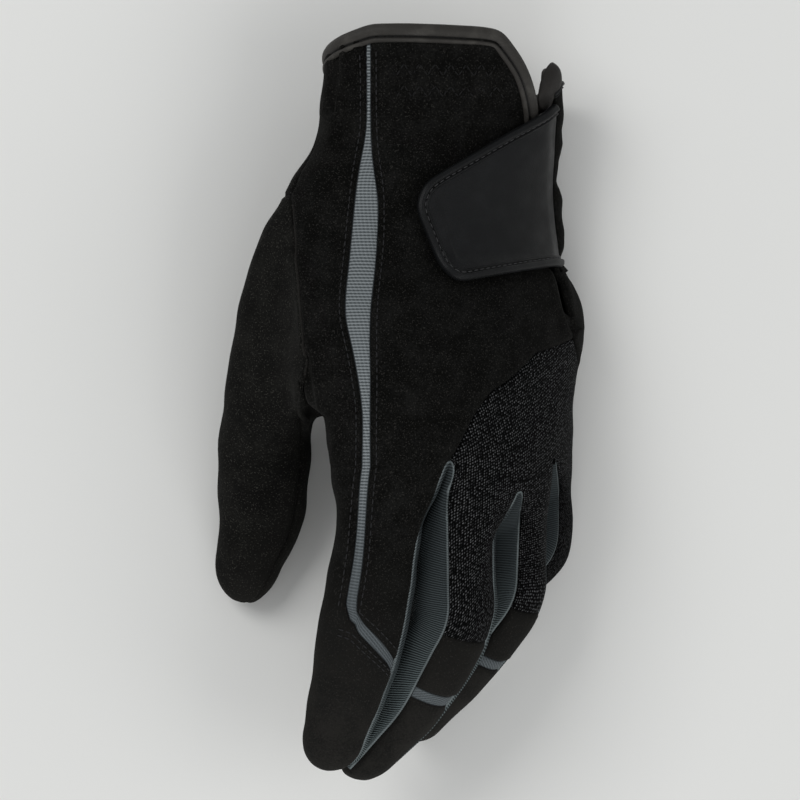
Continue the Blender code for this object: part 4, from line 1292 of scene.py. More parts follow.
def make_piece(name: str, points: Array, faces: list, finish: Finish,
               cloth: Array | None = None) -> bpy.types.Object:
    """A smooth mesh object at the origin, with its place in its mesh.

    Args:
        name: Name of the piece.
        points: Its points in millimetres, on the seam plan's origin.
        faces: Its faces as lists of point numbers.
        finish: Its finish.
        cloth: Across, along and distance from the seam at each point, in millimetres.

    Returns:
        The object, linked to the scene.
    """
    mesh = bpy.data.meshes.new(name)
    mesh.from_pydata(((points + PLAN_SHIFT) * MM).tolist(), [], faces)
    mesh.polygons.foreach_set("use_smooth", np.ones(len(mesh.polygons), bool))
    if cloth is not None:
        layer = mesh.attributes.new(CLOTH_LAYER, "FLOAT_VECTOR", "POINT")
        layer.data.foreach_set("vector", np.ascontiguousarray(cloth, dtype=np.float32).ravel())
    mesh.materials.append(finish.material())
    mesh.update()
    piece = bpy.data.objects.new(name, mesh)
    bpy.context.scene.collection.objects.link(piece)
    return piece


def quad_corners(grid: Array) -> Array:
    """What a grid holds at the four corners of each cell, from the first one down and round."""
    return np.stack((grid[:-1, :-1], grid[1:, :-1], grid[1:, 1:], grid[:-1, 1:]), axis=2)


def grid_faces(rows: int, columns: int, closed: bool = False) -> Array:
    """Quads of a grid of points, outward where rows run down and columns run right seen from outside.

    Args:
        rows: Rows of points.
        columns: Columns of points.
        closed: Whether the last column joins the first.

    Returns:
        Four point numbers for each quad.
    """
    index = np.arange(rows * columns).reshape(rows, columns)
    if closed:
        index = np.concatenate((index, index[:, :1]), axis=1)
    return quad_corners(index).reshape(-1, 4)


def add_wall(piece: bpy.types.Object, wall: float) -> None:
    """Gives a skin its thickness, inwards, with a Solidify modifier."""
    solidify = piece.modifiers.new("wall", "SOLIDIFY")
    solidify.thickness = wall * MM
    solidify.offset = -1.0
    solidify.use_even_offset = False
    solidify.use_rim = True


def grid_piece(name: str, points: Array, finish: Finish, wall: float,
               closed: bool = False) -> bpy.types.Object:
    """The piece of a grid of points, with its thickness.

    Args:
        name: Name of the piece.
        points: Its points as rows and columns.
        finish: Its finish.
        wall: Its thickness in millimetres.
        closed: Whether the last column joins the first.

    Returns:
        The object, linked to the scene.
    """
    faces = grid_faces(*points.shape[:2], closed).tolist()
    piece = make_piece(name, points.reshape(-1, 3), faces, finish)
    add_wall(piece, wall)
    return piece


def place_piece(piece: bpy.types.Object, body: Body, slot: Slot, *nodes: str) -> None:
    """Lets a piece ride on its body, hides the nodes that it stands for, and reports it.

    Args:
        piece: The piece.
        body: The body that carries it.
        slot: Its material slot; not used.
        nodes: The CAD nodes that it replaces.
    """
    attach(piece, body.value)
    if nodes:
        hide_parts(*nodes)
    log.info("%s: %d faces on %s", piece.name, len(piece.data.polygons), body.value)


def sweep(path: Array, normals: Array, profile: Array) -> tuple[Array, list]:
    """A closed bead: the profile's (out, up) carried along a path, the body lying left of the path.

    Args:
        path: Points along the edge.
        normals: Outward normal of the skin at each point.
        profile: Closed outline as out from the edge and up from the skin, running over the top outwards.

    Returns:
        Points and faces.
    """
    along = unit(np.gradient(path, axis=0))
    out = unit(np.cross(along, normals))
    rings = path[:, None] + profile[None, :, :1] * out[:, None] + profile[None, :, 1:] * normals[:, None]
    count = len(profile)
    quads = grid_faces(len(path), count, closed=True)[:, ::-1]
    last = (len(path) - 1) * count
    caps = [list(range(count))[::-1], list(range(last, last + count))]
    return rings.reshape(-1, 3), quads.tolist() + caps


def capsules(centres: Array, along: Array, up: Array, length: float, radius: float) -> tuple[Array, list]:
    """Many stitches at once: 6 rings of 6 points, (l·cos t, r·sin(t)^p), laid along each direction.

    Args:
        centres: Middle of each stitch.
        along: Direction of each stitch.
        up: Direction out of the cloth at each stitch.
        length: Length of a stitch.
        radius: Half its thickness.

    Returns:
        Points and faces.
    """
    along = unit(along)
    side = unit(np.cross(up, along))
    up = np.cross(along, side)
    blunt, fullness = 0.06, 0.6
    turn = np.linspace(blunt, np.pi - blunt, 6)[:, None]
    ring = np.linspace(0.0, 2 * np.pi, 6, endpoint=False)
    thick = radius * np.sin(turn) ** fullness
    lengthwise = np.broadcast_to(length / 2 * np.cos(turn), (6, 6))
    shape = np.stack((lengthwise, thick * np.cos(ring), thick * np.sin(ring)), axis=-1).reshape(-1, 3)
    frames = np.stack((along, side, up), axis=1)
    points = centres[:, None] + shape[None] @ frames
    quads = grid_faces(6, 6, closed=True)
    caps = [[3, 2, 1, 0], [5, 4, 3, 0], [32, 33, 34, 35], [30, 31, 32, 35]]
    one = np.concatenate((quads, caps))
    faces = (one[None] + (np.arange(len(centres)) * len(shape))[:, None, None]).reshape(-1, 4)
    return points.reshape(-1, 3), faces.tolist()


# Panels of the glove

# Y of the two zigzag rows that hold the wrist elastic
ELASTIC_ROWS = (99.9, 93.5)

# Cut of a panel: its least side, how full its box may be, and how full it is made where it is past that
LEAST_SIDE = 10.5
FULLEST, FULL = 0.95, 0.9
EMPTIEST, EMPTY = 0.5, 0.7


@dataclass(frozen=True)
class PanelKind:
    """How one kind of cloth is sewn: its finish, its slot, its wall, and how it lies at its seams."""

    finish: Finish
    slot: Slot
    wall: float
    sunk: float
    ridge: float


SUEDE_PANEL = PanelKind(SUEDE, Slot.SUEDE, 1.1, 0.0, 0.18)
# The thumb's panels use the suede that is painted lighter as painted light
THUMB_PANEL = PanelKind(THUMB_SUEDE_PAINTED_LIGHTER, Slot.SUEDE, 1.1, 0.0, 0.18)
STRIPE_PANEL = PanelKind(STRIPE_RIB, Slot.STRIPE, 0.9, 0.55, 0.0)
GUSSET_PANEL = PanelKind(GUSSET_RIB, Slot.GUSSET, 0.9, -0.3, 0.3)
MESH_PANEL = PanelKind(MESH_KNIT, Slot.MESH, 1.2, 0.1, 0.1)
PANEL_KINDS = {
    "stretch_stripe": STRIPE_PANEL, "middle_stretch_strip": STRIPE_PANEL, "ring_stretch_strip": STRIPE_PANEL,
    "thumb_back_panel": THUMB_PANEL, "thumb_palm_panel": THUMB_PANEL,
    "knuckle_mesh": MESH_PANEL, **{name: GUSSET_PANEL for name in GUSSETS},
}


@dataclass(frozen=True)
class Crease:
    """A fold seen on the back: a line of plan points, the width and the depth of its trough, and its
    shoulders' height, place and width as shares of those."""

    line: Knots
    width: float
    depth: float
    shoulder: Triple = (0.45, 2.1, 1.1)

    def height(self, points: Array) -> Array:
        """Bells across the line: down in the trough and up on its shoulders."""
        high, place, wide = self.shoulder
        gap = plan_distance(points[:, :2], np.array(self.line))
        return self.depth * (high * bell(gap - place * self.width, wide * self.width) - bell(gap, self.width))


CREASES = tuple(Crease(*row) for row in (
    (((-19.3, 107.0), (-19.8, 97.0), (-21.0, 88.0)), 1.2, 1.5),
    (((-15.9, 108.0), (-16.2, 98.0), (-17.2, 89.0), (-19.0, 80.0)), 1.1, 1.2),
    (((-1.0, 82.5), (9.0, 84.5), (20.0, 82.0)), 1.6, 0.7),
    (((13.0, 88.0), (22.0, 86.5), (33.0, 86.5)), 1.3, 0.7),
    (((5.0, 80.0), (14.0, 79.0)), 1.4, 0.6),
    (((47.0, 39.0), (49.0, 32.0), (51.5, 24.0)), 1.1, 1.3),
    (((51.0, 38.0), (52.5, 31.0), (53.5, 25.0)), 1.0, 1.1),
    (((-28.6, 14.0), (-28.0, 6.0), (-27.2, -2.0)), 1.4, 1.3),
    (((-23.2, 10.0), (-21.8, 3.0), (-21.6, -2.0), (-23.5, -5.0), (-26.5, -5.0)), 1.1, 1.0),
    (((-33.0, 58.0), (-31.0, 48.0)), 2.2, 0.5),
))


@dataclass
class GloveShell:
    """All sewn panels: one welded skin, shaped at its seams, then cut into its panels."""

    skin: HandSkin
    stalls: Stalls
    seam_depth: float = 0.75
    seam_width: float = 0.75
    seam_power: float = 1.4
    ridge_place: float = 1.5
    ridge_width: float = 0.9
    wave_height: float = 0.28
    waves: tuple[float, ...] = (46.0, 38.0, 31.0, 27.0, 22.0, 18.0, 15.0, 12.5)
    crease_fade: float = 3.0
    gather_pitch: float = 2.6
    gather_height: float = 0.3
    gather_wave: float = 3.4
    gather_wobble: Triple = (1.3, 2.2, 4.1)
    gather_xs: Pair = (-5.0, 33.0)
    gather_rows: Knots = (*((y, 3.2) for y in ELASTIC_ROWS), (84.0, 3.0))
    gather_shares: tuple[float, ...] = (1.0, 1.0, 0.7)
    gather_ease: float = 5.0
    stripe_place: Pair = (-10.1, 80.0)
    stripe_reach: float = 2.8
    fork: Knots = ((0.0, 0.0), (-3.5, 2.9), (-7.0, 2.3), (-12.5, 0.9), (-16.0, 0.7), (-20.0, 1.4),
                   (-24.0, 1.8), (-30.0, 2.4), (-36.0, 2.1), (-42.0, 1.2), (-50.0, 0.2), (-54.0, 0.0))
    fork_reach: Pair = (-11.0, 12.0)
    web_lift: float = 7.0
    web_place: Pair = (-25.0, 5.0)
    web_span: Pair = (0.2, -28.0)
    web_ease: Pair = (5.0, 18.0)
    thumb_fill: Knots = ((-3.0, 0.0), (-8.0, 2.0), (-20.0, 2.2), (-30.0, 2.3), (-38.0, 1.6), (-45.0, 0.5),
                         (-50.0, -0.6), (-56.0, -1.2), (-62.0, -0.9), (-70.0, 0.0))
    thumb_fill_reach: float = 9.0
    knob: Pair = (-33.2, 64.5)
    knob_reach: float = 9.0
    knob_edge: float = 0.02
    knob_passes: int = 60
    knob_pull: float = 0.6

    def build(self) -> None:
        """Works the skin out, draws it in at its seams and makes a piece of every panel."""
        self._weld()
        self._measure_seams()
        self._shape()
        for name in sorted(set(self.names)):
            self._cut(name)

    def _patches(self) -> list[Patch]:
        """The grids of the hand, the fingers and the thumb."""
        skin = self.skin
        u, v = np.meshgrid(fine(skin.count), fine(skin.rows))
        angle, y = skin.angles(u, v)
        points = skin.form.point(angle, y)
        points[:, -1] = points[:, 0]
        cloth = np.stack((skin.form.girth(angle, y), skin.cuff_y - y), axis=-1)
        patches = [Patch(points, cloth, np.zeros(u.shape), to_steps(skin.labels()))]

        def last_row(places: Array) -> Array:
            """Across and along on the hand's last row."""
            return np.stack([np.interp(places, u[-1], cloth[-1, :, k]) for k in range(2)], axis=-1)

        for number in range(len(FINGERS)):
            stall, labels = self.stalls.finger(number)
            patches.append(stall.patch(labels, last_row))
        for patch in patches[:2]:
            self._draw_in(patch.points)
        stall, labels = self.stalls.thumb()
        patches.append(stall.patch(labels, None))
        self._lift_web(patches[-1].points)
        return patches

    def _lift_web(self, points: Array) -> None:
        """Draws the thumb's web up towards the fork: a bell across, eased in and out along the span of Y. The
        thumb is filled out on that side."""
        x, y = points[..., 0], points[..., 1]
        side = ease((x - x.mean(axis=1, keepdims=True)) / self.thumb_fill_reach)
        points[..., 0] += smooth_line(y, self.thumb_fill) * side
        top, low = self.web_span
        points[..., 1] += (self.web_lift * bell(x - self.web_place[0], self.web_place[1])
                           * ease((top - y) / self.web_ease[0]) * ease((y - low) / self.web_ease[1]))

    def _draw_in(self, points: Array) -> None:
        """Draws the index side in at the thumb's fork, by an amount against Y that fades across the back."""
        amount = smooth_line(points[..., 1], self.fork)
        points[..., 0] += amount * ease((self.fork_reach[0] - points[..., 0]) / self.fork_reach[1])

    def _weld(self) -> None:
        """Joins the grids where they share points, and keeps the quads that belong to a panel."""
        corners, cloths, heights, names = [], [], [], []
        for patch in self._patches():
            keep = patch.labels != ""
            for store, grid in ((corners, patch.points), (cloths, patch.cloth), (heights, patch.height)):
                store.append(quad_corners(grid)[keep])
            names.append(patch.labels[keep])
        corner = np.concatenate(corners).reshape(-1, 3)
        _, first, index = np.unique(np.round(corner, 3), axis=0, return_index=True, return_inverse=True)
        self.points = corner[first]
        self.quads = index.reshape(-1, 4)
        self.names = np.concatenate(names)
        self.corner_cloth = np.concatenate(cloths)
        self.height = np.concatenate(heights).reshape(-1)[first]
        self._relax()
        normals = np.zeros_like(self.points)
        for column in self.quads.T:
            np.add.at(normals, column, self._crossed(self.quads))
        self.normals = unit(normals)

    def _crossed(self, quads: Array) -> Array:
        """Cross product of the diagonals of quads: their normals, twice as long as their areas are large."""
        a, b, c, d = (self.points[column] for column in quads.T)
        return np.cross(c - a, d - b)

    def _relax(self) -> None:
        """Eases the knob where the thumb leaves the hand: points move to the mean of their neighbours."""
        weight = bell(np.linalg.norm(self.points[:, :2] - self.knob, axis=1), self.knob_reach)
        near = np.flatnonzero(weight > self.knob_edge)
        sides = quad_sides(self.quads)
        sides = sides[np.isin(sides[:, 0], near)]
        count = np.maximum(np.bincount(sides[:, 0], minlength=len(self.points)), 1)[:, None]
        for _ in range(self.knob_passes):
            total = np.zeros_like(self.points)
            np.add.at(total, sides[:, 0], self.points[sides[:, 1]])
            self.points[near] += self.knob_pull * weight[near, None] * (total / count - self.points)[near]

    def _measure_seams(self) -> None:
        """Distance of every point from the edge of its own panel."""
        self.seam = np.full(len(self.points), 1e3)
        for name in sorted(set(self.names)):
            quads = self.quads[self.names == name]
            sides = np.sort(quad_sides(quads), axis=1)
            sides = sides[sides[:, 0] != sides[:, 1]]
            lines, times = np.unique(sides, axis=0, return_counts=True)
            rim = np.unique(lines[times == 1])
            own = np.unique(quads)
            self.seam[own] = np.minimum(self.seam[own], nearest(self.points[own], self.points[rim])[0])

    def _shape(self) -> None:
        """Height of every point: drawn in at the seams, swollen beside them, uneven, creased and gathered."""
        sunk = np.zeros(len(self.points))
        ridge = np.full(len(self.points), SUEDE_PANEL.ridge)
        for name, kind in PANEL_KINDS.items():
            own = np.unique(self.quads[self.names == name])
            sunk[own] = kind.sunk
            ridge[own] = kind.ridge
        pulled = np.exp(-(self.seam / self.seam_width) ** self.seam_power)
        slow = unevenness(self.points, self.waves, seed=7)
        upward = np.clip(self.normals[:, 2] * self.crease_fade, 0.0, 1.0)
        folds = sum(crease.height(self.points) for crease in CREASES) + self._gathers()
        self.rise = (self.height - self.seam_depth * pulled + (self.wave_height * slow - sunk) * (1 - pulled)
                     + ridge * bell(self.seam - self.ridge_place, self.ridge_width) + folds * upward)
        self.shaped = self.points + self.rise[:, None] * self.normals
        self.shaped[:, 2] = np.maximum(self.shaped[:, 2], FLOOR_GAP)

    def _gathers(self) -> Array:
        """Small puckers where the wrist elastic and the narrow stripe draw the cloth up."""
        x, y = self.points[:, 0], self.points[:, 1]
        left, right = self.gather_xs
        band = ease((x - left) / self.gather_ease) * ease((right - x) / self.gather_ease)
        rows = sum(share * bell(y - at, width)
                   for share, (at, width) in zip(self.gather_shares, self.gather_rows))
        size, tall, wide = self.gather_wobble
        phase = 2 * np.pi * x / self.gather_wave + size * np.sin(y / tall) + np.sin(x / wide)
        stripe = bell(x - self.stripe_place[0], self.stripe_reach)
        stripe = stripe * ease((y - self.stripe_place[1]) / self.gather_ease)
        puckers = np.sin(phase) * band * rows + np.sin(2 * np.pi * y / self.gather_pitch) * stripe
        return self.gather_height * puckers

    def lifted(self, points: Array, normals: Array, height: float) -> Array:
        """Points moved to lie on the shaped skin: each takes the rise of the nearest point of the skin."""
        _, near = nearest(points, self.points)
        return points + (self.rise[near] + height)[:, None] * normals

    def _cut(self, name: str) -> None:
        """Makes the piece of one panel.

        Args:
            name: The panel's name, which is its node's.
        """
        kind = PANEL_KINDS.get(name, SUEDE_PANEL)
        mine = self.names == name
        quads = self.quads[mine]
        own, index = np.unique(quads, return_inverse=True)
        index = index.reshape(-1, 4)
        cloth = np.zeros((len(own), 3))
        cloth[index.ravel(), :2] = self.corner_cloth[mine].reshape(-1, 2)
        cloth[:, 0] -= cloth[:, 0].mean()
        cloth[:, 2] = self.seam[own]
        pole = index[:, 1] == index[:, 2]
        faces = index[~pole].tolist() + index[pole][:, [0, 1, 3]].tolist()
        piece = make_piece(name + "_cloth", self.shaped[own], faces, kind.finish, cloth)
        add_wall(piece, kind.wall)
        declare_cut(cloth, np.linalg.norm(self._crossed(quads), axis=1).sum() / 2)
        place_piece(piece, Body.GLOVE, kind.slot, name)


def declare_cut(cloth: Array, area: float) -> None:
    """Works out the box of a panel's cloth coordinates against the area of its skin, and keeps nothing. The
    box is made longer where the cloth goes down one finger and up the next, and narrower where a seam
    wanders.

    Args:
        cloth: Its cloth coordinates in millimetres.
        area: Its area in square millimetres.
    """
    width, length = np.maximum(np.ptp(cloth[:, :2], axis=0), LEAST_SIDE)
    if area > FULLEST * width * length:
        length = area / (FULL * width)
    elif area < EMPTIEST * width * length:
        width = max(LEAST_SIDE, area / (EMPTY * length))


def quad_sides(quads: Array) -> Array:
    """The four sides of each quad, as pairs of point numbers."""
    return np.concatenate([quads[:, [k, (k + 1) % 4]] for k in range(4)])


def nearest(points: Array, others: Array, block: int = 4096) -> tuple[Array, Array]:
    """Distance from each point to the nearest of some others, and its number, worked out block by block.

    Args:
        points: Places to start from.
        others: Places to look for.
        block: Points compared at once.

    Returns:
        Distances and numbers.
    """
    far = (others ** 2).sum(axis=1)
    distances, numbers = [], []
    for start in range(0, len(points), block):
        some = points[start:start + block]
        square = (some ** 2).sum(axis=1)[:, None] + far - 2 * some @ others.T
        near = square.argmin(axis=1)
        numbers.append(near)
        distances.append(np.linalg.norm(some - others[near], axis=1))
    return np.concatenate(distances), np.concatenate(numbers)


def plan_distance(points: Array, line: Array) -> Array:
    """Distance seen from above from points to a line of straight pieces."""
    start, step = line[:-1], np.diff(line, axis=0)
    away = points[:, None] - start
    share = np.clip((away * step).sum(axis=2) / (step ** 2).sum(axis=1), 0.0, 1.0)
    return np.linalg.norm(away - share[..., None] * step, axis=2).min(axis=1)


# Sewing


@dataclass(frozen=True)
class Bead:
    """Section of a folded binding: a round roll over the edge, a groove for stitches, and a narrow ridge."""

    roll: float
    ridge: float
    top: float
    ridge_top: float
    groove: float
    wall: float
    under: float
    groove_width: float = 0.4
    overhang: float = 0.55
    hump: float = 0.8
    fullness: float = 0.7
    bulge: float = 0.5
    tuck: Pair = (0.7, 0.6)
    samples: Counts = (7, 15, 9)

    def outline(self) -> Array:
        """Closed outline as out and up: sine humps over ridge and roll, round the edge and back below."""
        ridge, roll, turn = (np.linspace(0.0, 1.0, count) for count in self.samples)
        ridge, turn = ridge[:-1], np.pi * turn[1:]
        edge = self.top * self.overhang
        out = np.concatenate((-self.roll - self.ridge + self.ridge * ridge,
                              -self.roll + (self.roll + edge) * roll))
        up = np.concatenate((
            self.groove + (self.ridge_top - self.groove) * np.sin(np.pi * ridge),
            self.groove + (self.top - self.groove) * np.sin(np.pi * self.hump * roll) ** self.fullness))
        low = -self.wall - self.under
        depth = (up[-1] - low) / 2
        out = np.concatenate((out, edge + self.bulge * depth * np.sin(turn)))
        up = np.concatenate((up, up[-1] - depth + depth * np.cos(turn)))
        back = np.array(((-self.tuck[0] * self.roll, low), (-self.roll - self.tuck[1] * self.ridge, low)))
        return np.concatenate((np.stack((out, up), axis=1), back))

    def cloth(self, rings: int) -> Array:
        """Cloth coordinates of a bead of some rings, whose third one is 1 in the groove, where shade is
        painted.
        """
        out, up = self.outline().T
        # Marks the groove, where the finish paints shade
        painted_shade_mask = bell(out + self.roll, self.groove_width) * (up > -self.wall)
        return np.tile(np.stack((np.zeros_like(painted_shade_mask), np.zeros_like(painted_shade_mask), painted_shade_mask), axis=1), (rings, 1))

    def piece(self, name: str, path: Array, normals: Array, finish: Finish) -> bpy.types.Object:
        """A binding along a path, kept above the floor."""
        points, faces = sweep(path, normals, self.outline())
        points[:, 2] = np.maximum(points[:, 2], FLOOR_GAP)
        return make_piece(name, points, faces, finish, self.cloth(len(path)))


@dataclass
class Stitching:
    """Rows of stitches along the seams of the skin."""

    skin: HandSkin
    stalls: Stalls
    shell: GloveShell
    length: float = 1.6
    pitch: float = 2.3
    radius: float = 0.24
    height: float = 0.05
    inset: float = 1.7
    probe: float = 0.05
    cuff_start: float = 0.9
    seam_samples: int = 120
    stall_samples: int = 60
    ring_samples: int = 40
    stripe_stop: float = 1.0
    bend_rows: Triple = (1.6, 3.4, -1.6)
    bend_insets: Triple = (-0.1, 0.25, -0.15)
    edge_width: float = 0.9
    edge_height: float = 0.4
    edge_depth: float = 0.4
    edge_lift: float = 0.15
    edge_inset: float = 0.6
    edge_pitch: float = 0.8
    edge_samples: int = 7
    zigzag_xs: Knots = ((-1.6, 30.5), (-1.6, 31.5))
    zigzag_step: float = 2.3
    zigzag_half: float = 1.9
    groove_lift: float = 0.12

    def row(self, path: Array, normals: Array, lift: bool = True) -> tuple[Array, Array, Array]:
        """Middles, directions and normals of the stitches along a path on the skin.

        Args:
            path: Points along the seam.
            normals: Outward normal at each.
            lift: Whether the stitches are laid on the shaped skin.

        Returns:
            Three rows for each stitch.
        """
        path, normals = resample(path, self.pitch, normals)
        normals = unit(normals)
        if lift:
            path = self.shell.lifted(path, normals, self.height)
        middles = (path[:-1] + path[1:]) / 2
        return middles, np.diff(path, axis=0), unit(normals[:-1] + normals[1:])

    def piece(self, name: str, rows: list[tuple[Array, Array, Array]], body: Body, slot: Slot,
              thread: Finish = BLACK_THREAD) -> None:
        """One piece of thread from rows of stitches."""
        middles, along, up = (np.concatenate(parts) for parts in zip(*rows))
        points, faces = capsules(middles, along, up, self.length, self.radius)
        place_piece(make_piece(name, points, faces, thread), body, slot)

    def in_groove(self, bead: Bead, path: Array, normals: Array) -> tuple[Array, Array, Array]:
        """The row of stitches at the bottom of a bead's groove, kept above the floor."""
        side = unit(np.cross(unit(np.gradient(path, axis=0)), normals))
        line = path - bead.roll * side + (bead.groove + self.groove_lift) * normals
        line[:, 2] = np.maximum(line[:, 2], self.radius + self.height)
        return self.row(line, normals, lift=False)

    def beside_column(self, name: str, inset: float) -> tuple[Array, Array]:
        """Path down the hand beside a named column, moved round the hand by an inset in millimetres."""
        v = np.linspace(self.cuff_start, float(self.skin.rows), self.seam_samples)
        u = self._moved(self.skin.at, self.skin.start[name], v, inset)
        return self.skin.at(u, v), self.skin.normal(u, v)

    def _moved(self, at: Surface, column: float, along: Array, inset: float) -> Array:
        """Columns beside one column of a surface, moved round it by an inset in millimetres."""
        c = np.full(along.shape, float(column))
        step = self.probe * np.sign(inset)
        size = np.linalg.norm(at(c + step, along) - at(c, along), axis=1) / self.probe
        return c + inset / size

    def beside_seam(self, stall: Stall, column: float, inset: float, s: Array) -> tuple[Array, Array]:
        """Path along a stall beside a column, moved round it by an inset in millimetres.

        Args:
            stall: The finger's stall.
            column: The column.
            inset: Distance from it.
            s: Lengths along the stall.

        Returns:
            Points and normals.
        """
        c = self._moved(stall.at, column, s, inset)
        path = stall.at(c, s)
        across = stall.at(c + self.probe, s) - stall.at(c - self.probe, s)
        return path, unit(np.cross(np.gradient(path, axis=0), across))

    def round_stall(self, stall: Stall, first: float, last: float, length: float) -> tuple[Array, Array]:
        """Path round a stall between two columns, at a length along it."""
        c = np.linspace(first, last, self.ring_samples)
        lengths = np.full(c.shape, length)
        path = stall.at(c, lengths)
        deeper = stall.at(c, lengths + 0.5)
        return path, unit(np.cross(deeper - path, np.gradient(path, axis=0)))

    def build_stripe(self) -> None:
        """Rows beside both edges of the stripe, down the hand and the finger, and round its bend."""
        stall, _ = self.stalls.finger(0)
        s = np.linspace(0.0, INDEX.strip_start - self.stripe_stop, self.stall_samples)
        paths = []
        for name, seam, inset in (("stripe_left", 1, -self.inset), ("stripe_right", 2, self.inset)):
            paths.append(self.beside_column(name, inset))
            paths.append(self.beside_seam(stall, stall.ends[seam], inset, s))
        outer, inner, last = stall.ends[1:4] + self.bend_insets
        low = INDEX.strip_start + STRIP_WIDTH
        near, far, above = self.bend_rows
        for first, length in ((outer, low + near), (outer, low + far), (inner, INDEX.strip_start + above)):
            paths.append(self.round_stall(stall, first, last, length))
        self.piece("stripe_stitches", [self.row(*path) for path in paths], Body.GLOVE, Slot.STRIPE)

    def build_thumb_edge(self) -> None:
        """The turned edge of the thumb's back panel along its seam, as a half round of suede painted paler as
        a highlight.
        """
        first, last = self.skin.thumb_rows
        v = np.linspace(first + self.edge_inset, last - self.edge_inset, self.seam_samples)
        u = np.zeros(v.shape)
        path, normals = resample(self.skin.at(u, v), self.edge_pitch, self.skin.normal(u, v))
        normals = unit(normals)
        path = self.shell.lifted(path, normals, self.edge_lift)
        turn = np.linspace(np.pi, 0.0, self.edge_samples)
        half = self.edge_width / 2
        round_top = np.stack((half * np.cos(turn), self.edge_height * np.sin(turn)), axis=1)
        profile = np.concatenate((round_top, ((half, -self.edge_depth), (-half, -self.edge_depth))))
        points, faces = sweep(path, normals, profile)
        place_piece(make_piece("thumb_seam_edge", points, faces, TURNED_SUEDE_PAINTED_HIGHLIGHT), Body.GLOVE, Slot.SUEDE)

    def build_elastic(self) -> None:
        """Zigzag rows that hold the wrist elastic."""
        rows = []
        for y, span in zip(ELASTIC_ROWS, self.zigzag_xs):
            corners = np.arange(*span, self.zigzag_step)
            ys = y + self.zigzag_half * np.where(np.arange(len(corners)) % 2, 1.0, -1.0)
            angle = self.skin.form.angle_at(corners, ys)
            rows.append(self.row(self.skin.form.point(angle, ys), self.skin.form.normal(angle, ys)))
        self.piece("elastic_stitches", rows, Body.GLOVE, Slot.ELASTIC, DARK_THREAD)


# Bindings and closure


@dataclass
class CuffBinding:
    """The leather binding up the back edge of the slit and round the wrist to the palm edge of the slit, with
    the leather ear there."""

    skin: HandSkin
    sewing: Stitching
    bead: Bead = Bead(roll=2.5, ridge=1.7, top=1.4, ridge_top=0.95, groove=0.1, wall=1.1, under=0.9)
    rim_step: float = 0.1
    pitch: float = 0.9
    passes: int = 8
    slit_rows: float = 13.0
    ear_rows: float = 1.8
    ear_ys: Pair = (103.0, 88.6)
    ear_turn: float = 10.5
    ear_lean: float = -6.0
    ear_shift: float = 1.0
    ear_seat: float = 0.2
    ear_height: float = 2.5
    ear_roll: int = 6
    ear_slope: float = 1.3
    ear_wall: float = 0.6
    ear_grid: Counts = (15, 49)

    def build(self) -> None:
        """Carries the bead along the rim of the cuff, lays its stitches in the groove and adds the ear."""
        at, count = self.skin.start, float(self.skin.count)
        back, palm = float(at["slit_back"]), float(at["slit_palm"])
        corners = np.array(((back, self.slit_rows), (back, 0.0), (0.0, 0.0)))
        others = np.array(((count, 0.0), (palm, 0.0), (palm, self.ear_rows)))
        u, v = np.concatenate([resample(line, self.rim_step)[0] for line in (corners, others)]).T
        path, normals = resample(self.skin.at(u, v), self.pitch, self.skin.normal(u, v))
        path, normals = soften(path, self.passes), unit(soften(normals, self.passes))
        piece = self.bead.piece("cuff_binding_leather", path, normals, BINDING_SKIN)
        place_piece(piece, Body.GLOVE, Slot.BINDING, "cuff_binding")
        row = self.sewing.in_groove(self.bead, path, normals)
        self.sewing.piece("cuff_stitches", [row], Body.GLOVE, Slot.BINDING, DARK_THREAD)
        self._face_ear()

    def _face_ear(self) -> None:
        """The leather ear at the slit's palm corner: a round tongue r² = p² + q² < 1 whose rim rolls down,
        and which slopes under the tab at its lower end."""
        rings, turns = self.ear_grid
        ring = np.linspace(0.0, 1.0, rings)[:, None]
        turn = np.linspace(0.0, 2 * np.pi, turns)
        p, q = ring * np.cos(turn), ring * np.sin(turn)
        y = np.mean(self.ear_ys) + np.ptp(self.ear_ys) / 2 * q
        middle = smooth_line(y, self.skin.knots["slit_palm"]) + self.ear_lean * q - self.ear_shift
        rolled = (1 - ring ** self.ear_roll) * ease((q + 1.0) / self.ear_slope)
        height = self.ear_seat + self.ear_height * rolled
        points = self.skin.form.over(middle - self.ear_turn * p, y, height)
        piece = grid_piece("cuff_ear_leather", points[:, :-1], EAR_SKIN, self.ear_wall, closed=True)
        place_piece(piece, Body.GLOVE, Slot.BINDING)


